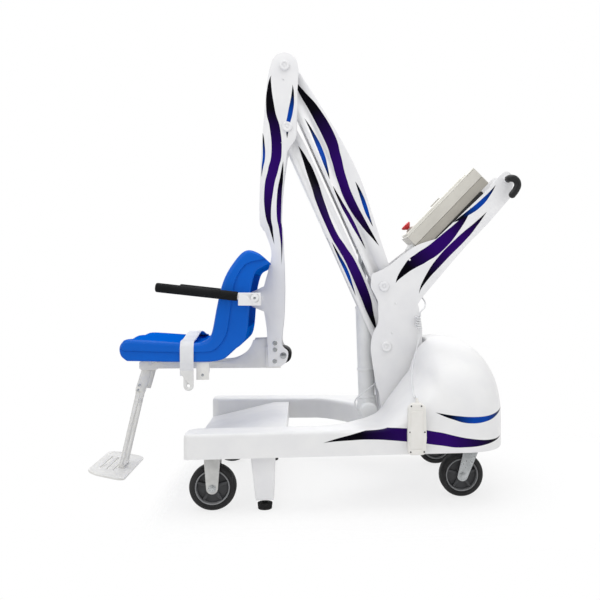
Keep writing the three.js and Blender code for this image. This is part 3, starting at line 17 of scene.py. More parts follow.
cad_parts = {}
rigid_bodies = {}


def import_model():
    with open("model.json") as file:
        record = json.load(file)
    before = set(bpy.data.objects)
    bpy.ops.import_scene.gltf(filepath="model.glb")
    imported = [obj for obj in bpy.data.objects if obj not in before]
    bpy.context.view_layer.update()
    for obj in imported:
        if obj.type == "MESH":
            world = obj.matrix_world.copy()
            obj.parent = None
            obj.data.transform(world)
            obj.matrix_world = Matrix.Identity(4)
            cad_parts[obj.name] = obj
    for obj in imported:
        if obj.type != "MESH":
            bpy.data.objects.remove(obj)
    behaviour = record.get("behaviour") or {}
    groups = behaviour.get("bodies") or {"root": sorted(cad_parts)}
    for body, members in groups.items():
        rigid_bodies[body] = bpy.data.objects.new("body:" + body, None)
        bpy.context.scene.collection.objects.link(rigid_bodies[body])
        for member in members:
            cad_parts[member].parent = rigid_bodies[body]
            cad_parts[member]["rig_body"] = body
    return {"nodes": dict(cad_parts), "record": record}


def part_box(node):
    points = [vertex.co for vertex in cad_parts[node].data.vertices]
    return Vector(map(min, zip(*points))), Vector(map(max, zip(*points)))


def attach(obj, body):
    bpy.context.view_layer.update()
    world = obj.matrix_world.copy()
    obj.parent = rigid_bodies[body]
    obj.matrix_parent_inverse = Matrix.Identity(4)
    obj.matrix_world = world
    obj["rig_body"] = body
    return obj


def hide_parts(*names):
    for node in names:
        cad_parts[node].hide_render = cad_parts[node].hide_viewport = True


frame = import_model()
log = logging.getLogger("pool_lift")

Flat = tuple[float, float]
Place = tuple[float, float, float]
Piece = bpy.types.Object
Socket = bpy.types.NodeSocket
Painted = tuple[tuple[tuple[Place, ...], "Ink"], ...]

MM = 0.001
WHITE = (1.0, 1.0, 1.0, 1.0)
UP = Vector((0, 0, 1))
ACROSS = Vector((0, 1, 0))
SIDES = ((-1, "left"), (1, "right"))
BOOM_PIN_X = 309.0
NEARLY_STRAIGHT = math.radians(160)


def side_shift() -> float:
    """How far the row frame's X lies from the side view's, in metres, read from the boom's pin."""
    low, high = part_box("boom_pin")
    return (low.x + high.x) / 2 - BOOM_PIN_X * MM


SHIFT = side_shift()


def spot(x: float, y: float, z: float) -> Vector:
    """A place of the side view, in millimetres, as a point of the row frame."""
    return Vector((x * MM + SHIFT, y * MM, z * MM))


def turns(start: float, end: float, count: int) -> list[float]:
    """Angles from a start to an end given in degrees, as radians."""
    return [math.radians(start + (end - start) * k / count) for k in range(count + 1)]


def arc(x: float, z: float, radius: float, start: float, end: float, count: int) -> list[Flat]:
    """Points on an arc round a middle, between two angles above +X in degrees."""
    return [(x + radius * math.cos(a), z + radius * math.sin(a)) for a in turns(start, end, count)]


def clamped(value: float, low: float, high: float) -> float:
    """How far a value lies on the way between two others, from nought to one."""
    return min(max((value - low) / (high - low), 0), 1)


def ramp(value: float, low: float, high: float) -> float:
    """A soft step from nought to one between two values."""
    t = clamped(value, low, high)
    return t * t * (3 - 2 * t)


def between(a: float, b: float, c: float, d: float, t: float) -> float:
    """The smooth value at a share t of the way from b to c, with a before them and d after."""
    square, cube = 2 * a - 5 * b + 4 * c - d, 3 * b - a - 3 * c + d
    return 0.5 * (2 * b + (c - a) * t + square * t * t + cube * t**3)


def spline(points: Sequence[Flat], step: float) -> list[Flat]:
    """A smooth stretch of outline through the points.

    Args:
        points: The places that the line passes.
        step: The distance between two samples, in millimetres.

    Returns:
        The samples, the first and last points among them.
    """
    ends = [points[0], *points, points[-1]]
    line: list[Flat] = []
    for a, b, c, d in zip(ends, ends[1:], ends[2:], ends[3:]):
        count = max(1, round(math.dist(b, c) / step))
        for k in range(count):
            line.append(tuple(between(a[i], b[i], c[i], d[i], k / count) for i in (0, 1)))
    return [*line, tuple(points[-1])]


def resampled(line: Sequence[Flat], count: int) -> list[Flat]:
    """A line's places at equal distances.

    Args:
        line: The line.
        count: How many places.

    Returns:
        The places.
    """
    runs = [0.0]
    for (x0, z0), (x1, z1) in zip(line, line[1:]):
        runs.append(runs[-1] + math.hypot(x1 - x0, z1 - z0))
    places, k = [], 0
    for step in range(count):
        goal = runs[-1] * step / (count - 1)
        while k < len(line) - 2 and runs[k + 1] < goal:
            k += 1
        share = (goal - runs[k]) / max(runs[k + 1] - runs[k], 1e-9)
        (x0, z0), (x1, z1) = line[k], line[k + 1]
        places.append((x0 + (x1 - x0) * share, z0 + (z1 - z0) * share))
    return places


def fillet(outline: Sequence[Flat], radius: float, steps: int) -> list[Flat]:
    """Rounds the corners of a closed outline, apart from those that are nearly straight.

    Args:
        outline: The corners in order.
        radius: Distance from a corner at which its rounding starts.
        steps: Number of steps in each rounding.

    Returns:
        The rounded outline.
    """
    rounded: list[Flat] = []
    for i, corner in enumerate(outline):
        here = Vector(corner)
        back, ahead = Vector(outline[i - 1]) - here, Vector(outline[(i + 1) % len(outline)]) - here
        if back.angle(ahead) > NEARLY_STRAIGHT:
            rounded.append(corner)
            continue
        reach = min(radius, back.length * 0.45, ahead.length * 0.45)
        p, q = here + back.normalized() * reach, here + ahead.normalized() * reach
        for t in (k / steps for k in range(steps + 1)):
            rounded.append((p * (1 - t) ** 2 + here * 2 * t * (1 - t) + q * t * t)[:])
    return rounded


def mirrored(half: Sequence[Flat]) -> list[Flat]:
    """Half a profile followed by its mirror image along the line."""
    return [*half, *((radius, -place) for radius, place in reversed(half))]


@dataclass(frozen=True)
class Axis:
    """A line in the side view with places along and across it."""

    origin: Flat
    angle: float

    def at(self, s: float, n: float = 0.0) -> Flat:
        """The place at s along the line and n to the right of it, seen along the line."""
        c, k = math.cos(math.radians(self.angle)), math.sin(math.radians(self.angle))
        return (self.origin[0] + c * s + k * n, self.origin[1] + k * s - c * n)

    def run(self, *places: Flat) -> list[Flat]:
        """Several places along and across the line."""
        return [self.at(s, n) for s, n in places]


class Ink(Enum):
    """Colours of the painted stripes, from tip to middle."""

    PURPLE = ("#05030c", "#2a0560")
    BLUE = ("#040816", "#063f9e")


class Grain(Enum):
    """How a surface's fine relief is made."""

    PEEL = "peel"
    PEBBLE = "pebble"
    BRUSHED = "brushed"
    WEAVE = "weave"


@dataclass(frozen=True)
class Stripe:
    """A tapered painted stripe: places of the side view with half widths, and its ink."""

    points: tuple[Place, ...]
    ink: Ink

    def ends(self) -> tuple[Vector, Vector]:
        """The stripe's two tips in the row frame."""
        (x0, z0, _), (x1, z1, _) = self.points[0], self.points[-1]
        return spot(x0, 0, z0), spot(x1, 0, z1)


def linear(code: str) -> tuple[float, float, float, float]:
    """A colour code of six hexadecimal digits as linear light, with an alpha of one."""
    parts = [int(code[i : i + 2], 16) / 255 for i in (1, 3, 5)]
    return (*(p / 12.92 if p <= 0.04045 else ((p + 0.055) / 1.055) ** 2.4 for p in parts), 1.0)


class Nodes:
    """A node tree while it is put together."""

    def __init__(self, tree: bpy.types.NodeTree) -> None:
        """Empties the tree and keeps it."""
        self.tree = tree
        tree.nodes.clear()

    def feed(self, target: Socket, value: object) -> None:
        """Gives an input its value.

        Args:
            target: The input.
            value: A plain value, or an output to link.
        """
        if isinstance(value, bpy.types.NodeSocket):
            self.tree.links.new(value, target)
        else:
            target.default_value = value

    def add(self, kind: str, inputs: Optional[dict] = None, **settings: object) -> bpy.types.Node:
        """Adds a node.

        Args:
            kind: Its type.
            inputs: Values or outputs for its inputs.
            settings: Attributes to set on it.

        Returns:
            The node.
        """
        node = self.tree.nodes.new(kind)
        for key, value in settings.items():
            setattr(node, key, value)
        for key, value in (inputs or {}).items():
            self.feed(node.inputs[key], value)
        return node

    def math(self, operation: str, *values: object, clamp: bool = False) -> Socket:
        """The result of an operation on numbers or outputs."""
        node = self.add("ShaderNodeMath", dict(enumerate(values)), operation=operation, use_clamp=clamp)
        return node.outputs[0]

    def vector(self, operation: str, *values: object) -> bpy.types.Node:
        """An operation on vectors or outputs."""
        return self.add("ShaderNodeVectorMath", dict(enumerate(values)), operation=operation)

    def parts(self, vector: Socket) -> list[Socket]:
        """The three parts of a vector."""
        return list(self.add("ShaderNodeSeparateXYZ", {0: vector}).outputs)

    def mix(self, share: object, a: object, b: object) -> Socket:
        """Two colours mixed, by the share of the second."""
        return self.add("ShaderNodeMix", {0: share, 6: a, 7: b}, data_type="RGBA").outputs[2]

    def blend(self, share: Socket, a: Socket, b: Socket) -> Socket:
        """Two shaders mixed, by the share of the second."""
        return self.add("ShaderNodeMixShader", {0: share, 1: a, 2: b}).outputs[0]

    def span(
        self, value: Socket, low: float, high: float, to_low: float = 0.0, to_high: float = 1.0
    ) -> Socket:
        """A value mapped from one range to another and kept there."""
        inputs = dict(enumerate((value, low, high, to_low, to_high)))
        return self.add("ShaderNodeMapRange", inputs).outputs[0]

    def curve(self, value: Socket, points: Sequence[Flat]) -> Socket:
        """Sends a value through a smooth curve.

        Args:
            value: The value, from nought to one.
            points: Places on the curve, both parts from nought to one.

        Returns:
            The curve's value.
        """
        node = self.add("ShaderNodeFloatCurve", {"Value": value})
        line = node.mapping.curves[0]
        line.points[0].location = points[0]
        line.points[1].location = points[-1]
        for point in points[1:-1]:
            line.points.new(*point)
        for point in line.points:
            point.handle_type = "AUTO"
        node.mapping.update()
        return node.outputs[0]

    def ramp(self, value: Socket, stops: Sequence[tuple[float, tuple]]) -> Socket:
        """Colours a value by a ramp.

        Args:
            value: The value, from nought to one.
            stops: Places on the ramp and their colours.

        Returns:
            The colour.
        """
        node = self.add("ShaderNodeValToRGB", {0: value})
        elements = node.color_ramp.elements
        while len(elements) < len(stops):
            elements.new(0.5)
        for element, (place, colour) in zip(elements, stops):
            element.position = place
            element.color = colour
        return node.outputs[0]


class Shader(Nodes):
    """A material's node tree, which starts with one Principled shader."""

    def __init__(self, name: str) -> None:
        """Starts a material.

        Args:
            name: The material's name.
        """
        self.material = bpy.data.materials.new(name)
        self.material.use_nodes = True
        super().__init__(self.material.node_tree)
        self.body = self.add("ShaderNodeBsdfPrincipled")
        self.output = self.add("ShaderNodeOutputMaterial", {0: self.body.outputs[0]})
        source = self.add("ShaderNodeTexCoord")
        self.places, self.facing = source.outputs["Object"], source.outputs["Normal"]

    def dress(self, values: dict[str, object]) -> None:
        """Gives the Principled shader its values."""
        for key, value in values.items():
            self.feed(self.body.inputs[key], value)

    def noise(self, size: float, detail: float, stretch: Place = (1.0, 1.0, 1.0)) -> Socket:
        """Noise on the object's own places, with features of a size in millimetres."""
        placed = self.add("ShaderNodeMapping", {"Vector": self.places, "Scale": stretch}).outputs[0]
        inputs = {"Vector": placed, "Scale": 1 / (size * MM), "Detail": detail}
        return self.add("ShaderNodeTexNoise", inputs).outputs[0]

    def dot(self, origin: Vector, along: Vector) -> Socket:
        """The product of a place's offset from an origin with a direction."""
        offset = self.vector("SUBTRACT", self.places, origin).outputs[0]
        return self.vector("DOT_PRODUCT", offset, along).outputs["Value"]

    def run(self, stripe: Stripe) -> Socket:
        """How far a place is along a stripe's chord, from nought to one."""
        start, end = stripe.ends()
        return self.dot(start, (end - start) / (end - start).length_squared)

    def shown(self, stripe: Stripe) -> Socket:
        """Whether a place lies in a stripe.

        Args:
            stripe: The stripe.

        Returns:
            One inside it and nought outside, with a soft edge.
        """
        start, end = stripe.ends()
        chord = end - start
        u = chord.normalized()
        n = Vector((-u.z, 0, u.x))
        placed = [(spot(x, 0, z) - start, half) for x, z, half in stripe.points]
        shares = [p.dot(u) / chord.length for p, _ in placed]
        sides = [p.dot(n) / MM for p, _ in placed]
        widest = max(half for _, half in placed) / 0.9
        swing = max(*(abs(v) for v in sides), 1.0) * 1.3
        run = self.run(stripe)
        middle = self.curve(run, [(s, 0.5 + v / (2 * swing)) for s, v in zip(shares, sides)])
        centre = self.math("MULTIPLY_ADD", middle, 2 * swing, -swing)
        width = self.curve(run, [(s, h / widest) for s, (_, h) in zip(shares, placed)])
        half = self.math("MULTIPLY", width, widest)
        away = self.math("ABSOLUTE", self.math("SUBTRACT", self.dot(start, n / MM), centre))
        return self.span(self.math("SUBTRACT", half, away), 0.15, 0.75)

    def ink(self, stripe: Stripe) -> Socket:
        """The ink's colour along a stripe, which darkens towards the tips."""
        tip, heart = (linear(code) for code in stripe.ink.value)
        stops = [(0.0, tip), (0.2, tip), (0.5, heart), (0.66, heart), (0.92, tip)]
        return self.ramp(self.run(stripe), stops)


@dataclass(frozen=True)
class Finish:
    """A surface: its colours, gloss and fine relief, and the stripes painted on it."""

    name: str
    colour: str
    shade: str
    roughness: float
    spread: float = 0.08
    metallic: float = 0.0
    coat: float = 0.0
    specular: float = 0.5
    ink_specular: float = 0.05
    dull: bool = False
    grain: Grain = Grain.PEEL
    grain_size: float = 2.4
    grain_depth: float = 0.03
    mottle_size: float = 70.0
    stripes: tuple[Stripe, ...] = ()
    face: float = 0.0

    def build(self) -> bpy.types.Material:
        """Makes the material.

        Returns:
            The material.
        """
        shader = Shader(self.name)
        tint = shader.span(shader.noise(self.mottle_size, 4.0), 0.35, 0.65)
        colour = shader.mix(tint, linear(self.colour), linear(self.shade))
        shine: object = self.dulled(shader) if self.dull else self.specular
        coat: object = self.coat
        if self.stripes:
            colour, shine, coat = self.painted(shader, colour)
        low, high = self.roughness - self.spread / 2, self.roughness + self.spread / 2
        rough = shader.span(shader.noise(self.grain_size * 4, 5.0), 0.3, 0.7, low, high)
        relief = {"Strength": 1.0, "Distance": self.grain_depth * MM, "Height": self.relief(shader)}
        normal = shader.add("ShaderNodeBump", relief).outputs[0]
        shader.dress({
            "Base Color": colour, "Roughness": rough, "Metallic": self.metallic, "Specular IOR Level": shine,
            "Coat Weight": coat, "Coat Roughness": 0.08, "Normal": normal,
        })
        return shader.material

    def dulled(self, shader: Shader) -> Socket:
        """The specular level, without gloss on the faces that look backwards, up or down.

        Args:
            shader: The material so far.

        Returns:
            The level.
        """
        x, y, _ = shader.parts(shader.facing)
        turned = shader.math("MAXIMUM", shader.math("ABSOLUTE", y), shader.math("MULTIPLY", x, -1.0))
        return shader.span(turned, 0.25, 0.6, 0.0, self.specular)

    def painted(self, shader: Shader, colour: Socket) -> tuple[Socket, Socket, Socket]:
        """Lays the stripes over the base colour, on the faces that look outwards alone.

        Args:
            shader: The material so far.
            colour: Its base colour.

        Returns:
            The colour with all stripes on it, the specular level and the coat's weight.
        """
        y = shader.parts(shader.places)[1]
        outward = shader.math("MULTIPLY", shader.parts(shader.facing)[1], shader.math("SIGN", y))
        reach = shader.math("GREATER_THAN", shader.math("ABSOLUTE", y), self.face * MM)
        face = shader.math("MULTIPLY", shader.math("GREATER_THAN", outward, 0.3), reach)
        cover: object = 0.0
        for stripe in self.stripes:
            share = shader.math("MULTIPLY", shader.shown(stripe), face)
            colour = shader.mix(share, colour, shader.ink(stripe))
            cover = shader.math("MAXIMUM", share, cover)
        shine = shader.span(cover, 0.0, 1.0, self.specular, self.ink_specular)
        return colour, shine, shader.span(cover, 0.0, 1.0, self.coat, 0.0)

    def relief(self, shader: Shader) -> Socket:
        """The height that the fine relief has at a place.

        Args:
            shader: The material so far.

        Returns:
            The height, from nought to one.
        """
        if self.grain is Grain.PEBBLE:
            inputs = {"Vector": shader.places, "Scale": 1 / (self.grain_size * MM)}
            return shader.add("ShaderNodeTexVoronoi", inputs, feature="SMOOTH_F1").outputs["Distance"]
        if self.grain is Grain.BRUSHED:
            return shader.noise(self.grain_size, 2.0, (0.06, 1.0, 1.0))
        if self.grain is Grain.WEAVE:
            waves = []
            for direction, share in (("X", 1.0), ("Y", 0.5)):
                scale = share * 0.16 / (self.grain_size * MM)
                inputs = {"Vector": shader.places, "Scale": scale, "Distortion": 0.4}
                wave = shader.add("ShaderNodeTexWave", inputs, wave_type="BANDS", bands_direction=direction)
                waves.append(wave.outputs["Fac"])
            return shader.math("MAXIMUM", *waves)
        return shader.noise(self.grain_size, 2.0)


class Finishes:
    """The lift's finishes, each made once."""

    white = Finish("white_powder_coat", "#ebebec", "#e6e6e8", 0.36, coat=0.15, grain_depth=0.035)
    cover = Finish(
        "white_gelcoat", "#e6e6e6", "#e2e2e3", 0.34, specular=0.25, grain_size=9.0, grain_depth=0.02
    )
    zinc = Finish(
        "bright_zinc", "#cfd2d3", "#bec2c3", 0.34, 0.2, 0.7, grain=Grain.BRUSHED, grain_size=1.2,
        mottle_size=18.0,
    )
    steel = Finish(
        "polished_steel", "#cfd2d4", "#bfc3c6", 0.2, 0.1, 0.95, grain=Grain.BRUSHED, grain_size=1.0,
        grain_depth=0.01,
    )
    fork = Finish("pale_fork_coat", "#d4d4d2", "#c6c6c4", 0.4, 0.12, 0.2, mottle_size=30.0)
    tyre = Finish(
        "grey_black_tyre", "#1d1d1e", "#2b2b2c", 0.62, 0.16, specular=0.35, grain=Grain.PEBBLE,
        grain_size=1.6, grain_depth=0.06,
    )
    hub = Finish("dark_hub_plastic", "#46474a", "#3a3b3d", 0.42, 0.12, grain_size=1.4)
    rim = Finish("pale_rim_ring", "#8f9092", "#7c7d7f", 0.36, 0.14, grain_size=1.4)
    rubber = Finish(
        "black_rubber", "#151516", "#202021", 0.7, 0.14, specular=0.3, grain=Grain.PEBBLE, grain_size=1.1,
        grain_depth=0.05,
    )
    foam = Finish(
        "black_foam", "#111214", "#191a1c", 0.8, 0.12, specular=0.2, grain=Grain.PEBBLE, grain_size=1.5,
        grain_depth=0.12,
    )
    grip = Finish(
        "grip_plastic", "#1c1c1d", "#242425", 0.45, 0.1, specular=0.35, grain=Grain.PEBBLE, grain_size=1.2
    )
    seat = Finish(
        "blue_seat_moulding", "#045fc8", "#045bc1", 0.3, 0.05, specular=0.16, dull=True, grain_size=5.0,
        grain_depth=0.004, mottle_size=160.0,
    )
    web = Finish(
        "white_webbing", "#e6e7ea", "#dcdde1", 0.75, 0.1, grain=Grain.WEAVE, grain_size=1.6, grain_depth=0.35
    )
    # Darker than box_upper: on the box's lower half this grey is painted shade, standing in for lower faces
    # that turn away from the light. The latch and stop ring use the same grey.
    box_grey_and_painted_shade = Finish("grey_plastic_with_painted_shade", "#aaa69d", "#a29e95", 0.42, 0.1, grain_size=1.3)
    box_lid = Finish("pale_cream_plastic", "#e3e1da", "#dad8d0", 0.4, 0.1, grain_size=1.3)
    motor = Finish("drive_white_plastic", "#e9eaea", "#e0e1e2", 0.36, 0.1, grain_size=1.6)
    dark = Finish("dark_tray_paint", "#3b3b3c", "#2f2f30", 0.5, 0.1, grain_size=2.0)
    red = Finish(
        "red_button_plastic", "#c0141f", "#ad111b", 0.33, coat=0.2, grain_size=1.6, grain_depth=0.02
    )
    lead = Finish("white_cord_sleeve", "#e4e5e6", "#d9dadc", 0.45, grain_size=1.0)
    box_upper = Finish("light_grey_plastic", "#cfccc4", "#c6c3bb", 0.42, 0.1, grain_size=1.3)
    warm_white = Finish("warm_white_paint", "#e9e8e5", "#e2e1de", 0.4, coat=0.1, grain_depth=0.04)
    hand_white = Finish("control_white_plastic", "#e6e4e0", "#dfddd8", 0.4, 0.1, coat=0.1, grain_size=1.2)
    web_end = Finish("white_belt_tongue", "#e2e2e1", "#d8d8d7", 0.5, 0.1, grain_size=1.4)
    # Near-black shelf under the control box: painted shadow, standing in for the shade in the gap under the
    # box.
    tray = Finish("shelf_painted_shadow", "#2c2c2d", "#242425", 0.5, 0.1, specular=0.3, grain_size=2.0)
    iron = Finish("cast_iron_paint", "#3b3c3e", "#2e2f30", 0.66, 0.16, 0.3, grain_size=2.6, grain_depth=0.15)

    _made: dict[str, bpy.types.Material] = {}

    @classmethod
    def get(cls, finish: Finish) -> bpy.types.Material:
        """The material of a finish, made at its first use."""
        if finish.name not in cls._made:
            cls._made[finish.name] = finish.build()
        return cls._made[finish.name]


class Bench:
    """The workbench: primitives are added, shaped in edit mode and finished, as by hand."""

    slots = {part["node"]: part["material_slot"] for part in frame["record"]["subparts"]}

    @staticmethod
    def clear() -> None:
        """Leaves edit mode and deselects everything."""
        if bpy.context.object is not None and bpy.context.object.mode != "OBJECT":
            bpy.ops.object.mode_set(mode="OBJECT")
        bpy.ops.object.select_all(action="DESELECT")

    @classmethod
    def pick(cls, *pieces: Piece) -> None:
        """Selects pieces alone and makes the first active.

        Args:
            pieces: The pieces.
        """
        cls.clear()
        for piece in pieces:
            piece.select_set(True)
        bpy.context.view_layer.objects.active = pieces[0]

    @classmethod
    def edit(cls, piece: Piece) -> None:
        """Opens a piece in edit mode with all of it selected.

        Args:
            piece: The piece.
        """
        cls.pick(piece)
        bpy.ops.object.mode_set(mode="EDIT")
        bpy.ops.mesh.select_all(action="SELECT")

    @classmethod
    def smooth(cls, piece: Piece, angle: float = 35.0) -> None:
        """Shades a piece smooth where its faces meet at less than an angle, in degrees."""
        cls.pick(piece)
        bpy.ops.object.shade_smooth_by_angle(angle=math.radians(angle))

    @classmethod
    def apply(cls, piece: Piece, kind: str, **settings: object) -> None:
        """Adds a modifier to a piece and applies it.

        Args:
            piece: The piece.
            kind: The modifier's type.
            settings: Attributes to set on it.
        """
        cls.pick(piece)
        bpy.ops.object.modifier_add(type=kind)
        modifier = piece.modifiers[-1]
        for key, value in settings.items():
            setattr(modifier, key, value)
        bpy.ops.object.modifier_apply(modifier=modifier.name)

    @classmethod
    def settle(cls, piece: Piece, bevel: float = 0.0, segments: int = 2, smooth: float = 35.0) -> Piece:
        """Merges doubles, turns faces outwards, rounds edges and smooths the shading.

        Args:
            piece: The piece.
            bevel: Width of the rounded edges, in millimetres.
            segments: Steps across a rounded edge.
            smooth: Largest angle that is shaded smooth, in degrees.

        Returns:
            The piece.
        """
        cls.edit(piece)
        bpy.ops.mesh.remove_doubles(threshold=0.00001)
        bpy.ops.mesh.normals_make_consistent(inside=False)
        bpy.ops.object.mode_set(mode="OBJECT")
        if bevel:
            cls.apply(
                piece, "BEVEL", width=bevel * MM, segments=segments, limit_method="ANGLE",
                angle_limit=math.radians(38), use_clamp_overlap=True, miter_outer="MITER_ARC",
            )
        cls.smooth(piece, smooth)
        return piece

    @classmethod
    def prism(cls, outline: Sequence[Vector], push: Vector, bevel: float, segments: int = 2) -> Piece:
        """A flat face with any outline, extruded.

        Args:
            outline: Corners of the face in the row frame.
            push: The extrusion.
            bevel: Width of its rounded edges, in millimetres.
            segments: Steps across a rounded edge.

        Returns:
            The piece.
        """
        cls.clear()
        bpy.ops.mesh.primitive_circle_add(vertices=len(outline), radius=1, fill_type="NGON")
        piece = bpy.context.object
        for vertex, place in zip(piece.data.vertices, outline):
            vertex.co = place
        cls.edit(piece)
        bpy.ops.mesh.extrude_region_move(TRANSFORM_OT_translate={"value": push})
        return cls.settle(piece, bevel, segments)

    @classmethod
    def plate(
        cls, outline: Sequence[Flat], start: float, end: float, bevel: float, segments: int = 2
    ) -> Piece:
        """A flat plate of the side view between two values of Y."""
        push = Vector((0, (end - start) * MM, 0))
        return cls.prism([spot(x, start, z) for x, z in outline], push, bevel, segments)

    @classmethod
    def slab(
        cls, outline: Sequence[Flat], low: float, high: float, bevel: float, segments: int = 2
    ) -> Piece:
        """A flat plate seen from above between two heights, with its outline in X and Y."""
        push = Vector((0, 0, (high - low) * MM))
        return cls.prism([spot(x, y, low) for x, y in outline], push, bevel, segments)

    @classmethod
    def block(cls, low: Place, high: Place, bevel: float, segments: int = 2) -> Piece:
        """A block between two corners of the side view, with rounded edges."""
        (x0, y0, z0), (x1, y1, z1) = low, high
        return cls.slab([(x0, y0), (x1, y0), (x1, y1), (x0, y1)], z0, z1, bevel, segments)

    @classmethod
    def turned(
        cls, profile: Sequence[Flat], origin: Vector, axis: Vector, steps: int = 48, smooth: float = 35.0
    ) -> Piece:
        """A turned piece, spun round a line.

        Args:
            profile: Radii and places along the line, in millimetres.
            origin: Where the line starts, in the row frame.
            axis: Its direction.
            steps: Steps of the spin.
            smooth: Largest angle that is shaded smooth, in degrees.

        Returns:
            The piece.
        """
        cls.clear()
        axis = axis.normalized()
        out = axis.orthogonal().normalized()
        bpy.ops.mesh.primitive_circle_add(vertices=len(profile), radius=1, fill_type="NOTHING")
        piece = bpy.context.object
        for vertex, (radius, place) in zip(piece.data.vertices, profile):
            vertex.co = origin + out * radius * MM + axis * place * MM
        if profile[0][0] == 0 and profile[-1][0] == 0:
            cls.open_ends(piece, {0, len(profile) - 1})
        cls.edit(piece)
        bpy.ops.mesh.spin(steps=steps, angle=2 * math.pi, center=origin, axis=axis)
        return cls.settle(piece, 0.0, 1, smooth)

    @classmethod
    def open_ends(cls, piece: Piece, ends: set[int]) -> None:
        """Deletes the edge that closes a profile along its own axis.

        Args:
            piece: The profile, as a ring of edges.
            ends: The edge's two vertices.
        """
        cls.edit(piece)
        bpy.ops.mesh.select_mode(type="EDGE")
        bpy.ops.mesh.select_all(action="DESELECT")
        bpy.ops.object.mode_set(mode="OBJECT")
        for edge in piece.data.edges:
            edge.select = set(edge.vertices) == ends
        bpy.ops.object.mode_set(mode="EDIT")
        bpy.ops.mesh.delete(type="EDGE")
        bpy.ops.mesh.select_mode(type="VERT")

    @classmethod
    def rod(
        cls, start: Vector, end: Vector, radius: float, edge: float = 0.8, steps: int = 40, bore: float = 0.0
    ) -> Piece:
        """A round bar with broken edges, bored through where asked.

        Args:
            start: One end, in the row frame.
            end: The other end.
            radius: Its radius, in millimetres.
            edge: Size of its broken edges.
            steps: Number of sides.
            bore: Radius of the bore.

        Returns:
            The piece.
        """
        length = (end - start).length / MM
        half = edge * 0.3
        outside = [
            (radius - edge, 0), (radius - half, half * 0.6), (radius, edge), (radius, length - edge),
            (radius - half, length - half * 0.6), (radius - edge, length),
        ]
        return cls.turned([(bore, 0), *outside, (bore, length)], start, end - start, steps)

    @classmethod
    def across(cls, x: float, z: float, start: float, end: float, radius: float, **more: float) -> Piece:
        """A round bar that stands across the side view, between two values of Y."""
        return cls.rod(spot(x, start, z), spot(x, end, z), radius, **more)

    @classmethod
    def line(cls, points: Sequence[Vector], radius: float, sides: int, resolution: int) -> Piece:
        """A curve of one open spline with a round section.

        Args:
            points: The places it passes, in the row frame.
            radius: Its radius, in millimetres.
            sides: Steps over a quarter of its section.
            resolution: Steps between two places.

        Returns:
            The piece.
        """
        cls.clear()
        bpy.ops.curve.primitive_bezier_curve_add()
        piece = bpy.context.object
        piece.matrix_world = Matrix.Identity(4)
        data = piece.data
        data.splines.clear()
        data.dimensions = "3D"
        path = data.splines.new("BEZIER")
        path.bezier_points.add(len(points) - 1)
        for knot, place in zip(path.bezier_points, points):
            knot.co = place
            knot.handle_left_type = knot.handle_right_type = "AUTO"
        data.bevel_depth = radius * MM
        data.bevel_resolution = sides
        data.resolution_u = resolution
        data.use_fill_caps = True
        return piece

    @classmethod
    def cut(cls, piece: Piece, *tools: Piece) -> Piece:
        """Cuts pieces out of a piece and removes them.

        Args:
            piece: The piece.
            tools: What is cut out of it.

        Returns:
            The piece.
        """
        for tool in tools:
            cls.apply(piece, "BOOLEAN", operation="DIFFERENCE", solver="EXACT", object=tool)
            bpy.data.objects.remove(tool)
        return piece

    @classmethod
    def join(cls, *pieces: Piece) -> Piece:
        """Joins pieces into the first.

        Args:
            pieces: The pieces.

        Returns:
            The joined piece.
        """
        cls.pick(*pieces)
        if len(pieces) > 1:
            bpy.ops.object.join()
        return bpy.context.object

    @classmethod
    def twin(cls, piece: Piece) -> Piece:
        """A copy of a piece with its own mesh, mirrored to the other side.

        Args:
            piece: The piece.

        Returns:
            The copy.
        """
        twin = bpy.data.objects.new(piece.name + "_copy", piece.data.copy())
        bpy.context.scene.collection.objects.link(twin)
        twin.data.transform(Matrix.Diagonal((1, -1, 1, 1)))
        twin.data.flip_normals()
        return twin

    @classmethod
    def soften(cls, node: str, bevel: float, segments: int = 2) -> Piece:
        """A copy of a CAD node with its faces merged and its edges rounded.

        Args:
            node: The node.
            bevel: Width of its rounded edges, in millimetres.
            segments: Steps across a rounded edge.

        Returns:
            The piece.
        """
        piece = bpy.data.objects.new(node + "_soft", frame["nodes"][node].data.copy())
        bpy.context.scene.collection.objects.link(piece)
        piece.data.materials.clear()
        cls.edit(piece)
        bpy.ops.mesh.remove_doubles(threshold=0.00002)
        bpy.ops.mesh.dissolve_limited(angle_limit=math.radians(1.5))
        bpy.ops.object.mode_set(mode="OBJECT")
        return cls.settle(piece, bevel, segments)

    @classmethod
    def mount(
        cls, piece: Piece, name: str, finish: Finish, *nodes: str, beside: Optional[str] = None
    ) -> Piece:
        """Names a piece, dresses it and sets it on its body.

        Args:
            piece: The piece.
            name: Its name.
            finish: Its finish.
            nodes: CAD nodes that it stands for.
            beside: A node whose body carries it, where it stands for none.

        Returns:
            The piece.
        """
        host = nodes[0] if nodes else beside
        piece.name = name
        piece.data.name = name
        piece.data.materials.clear()
        piece.data.materials.append(Finishes.get(finish))
        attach(piece, frame["nodes"][host]["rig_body"])
        if nodes:
            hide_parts(*nodes)
        log.info("built %s", name)
        return piece

    @classmethod
    def mount_pair(cls, piece: Piece, name: str, finish: Finish, node: str) -> None:
        """Mounts a piece of the sitter's left, and its mirror image on the right."""
        for each, (_, word) in zip((piece, cls.twin(piece)), SIDES):
            cls.mount(each, f"{name}_{word}", finish, f"{node}_{word}")


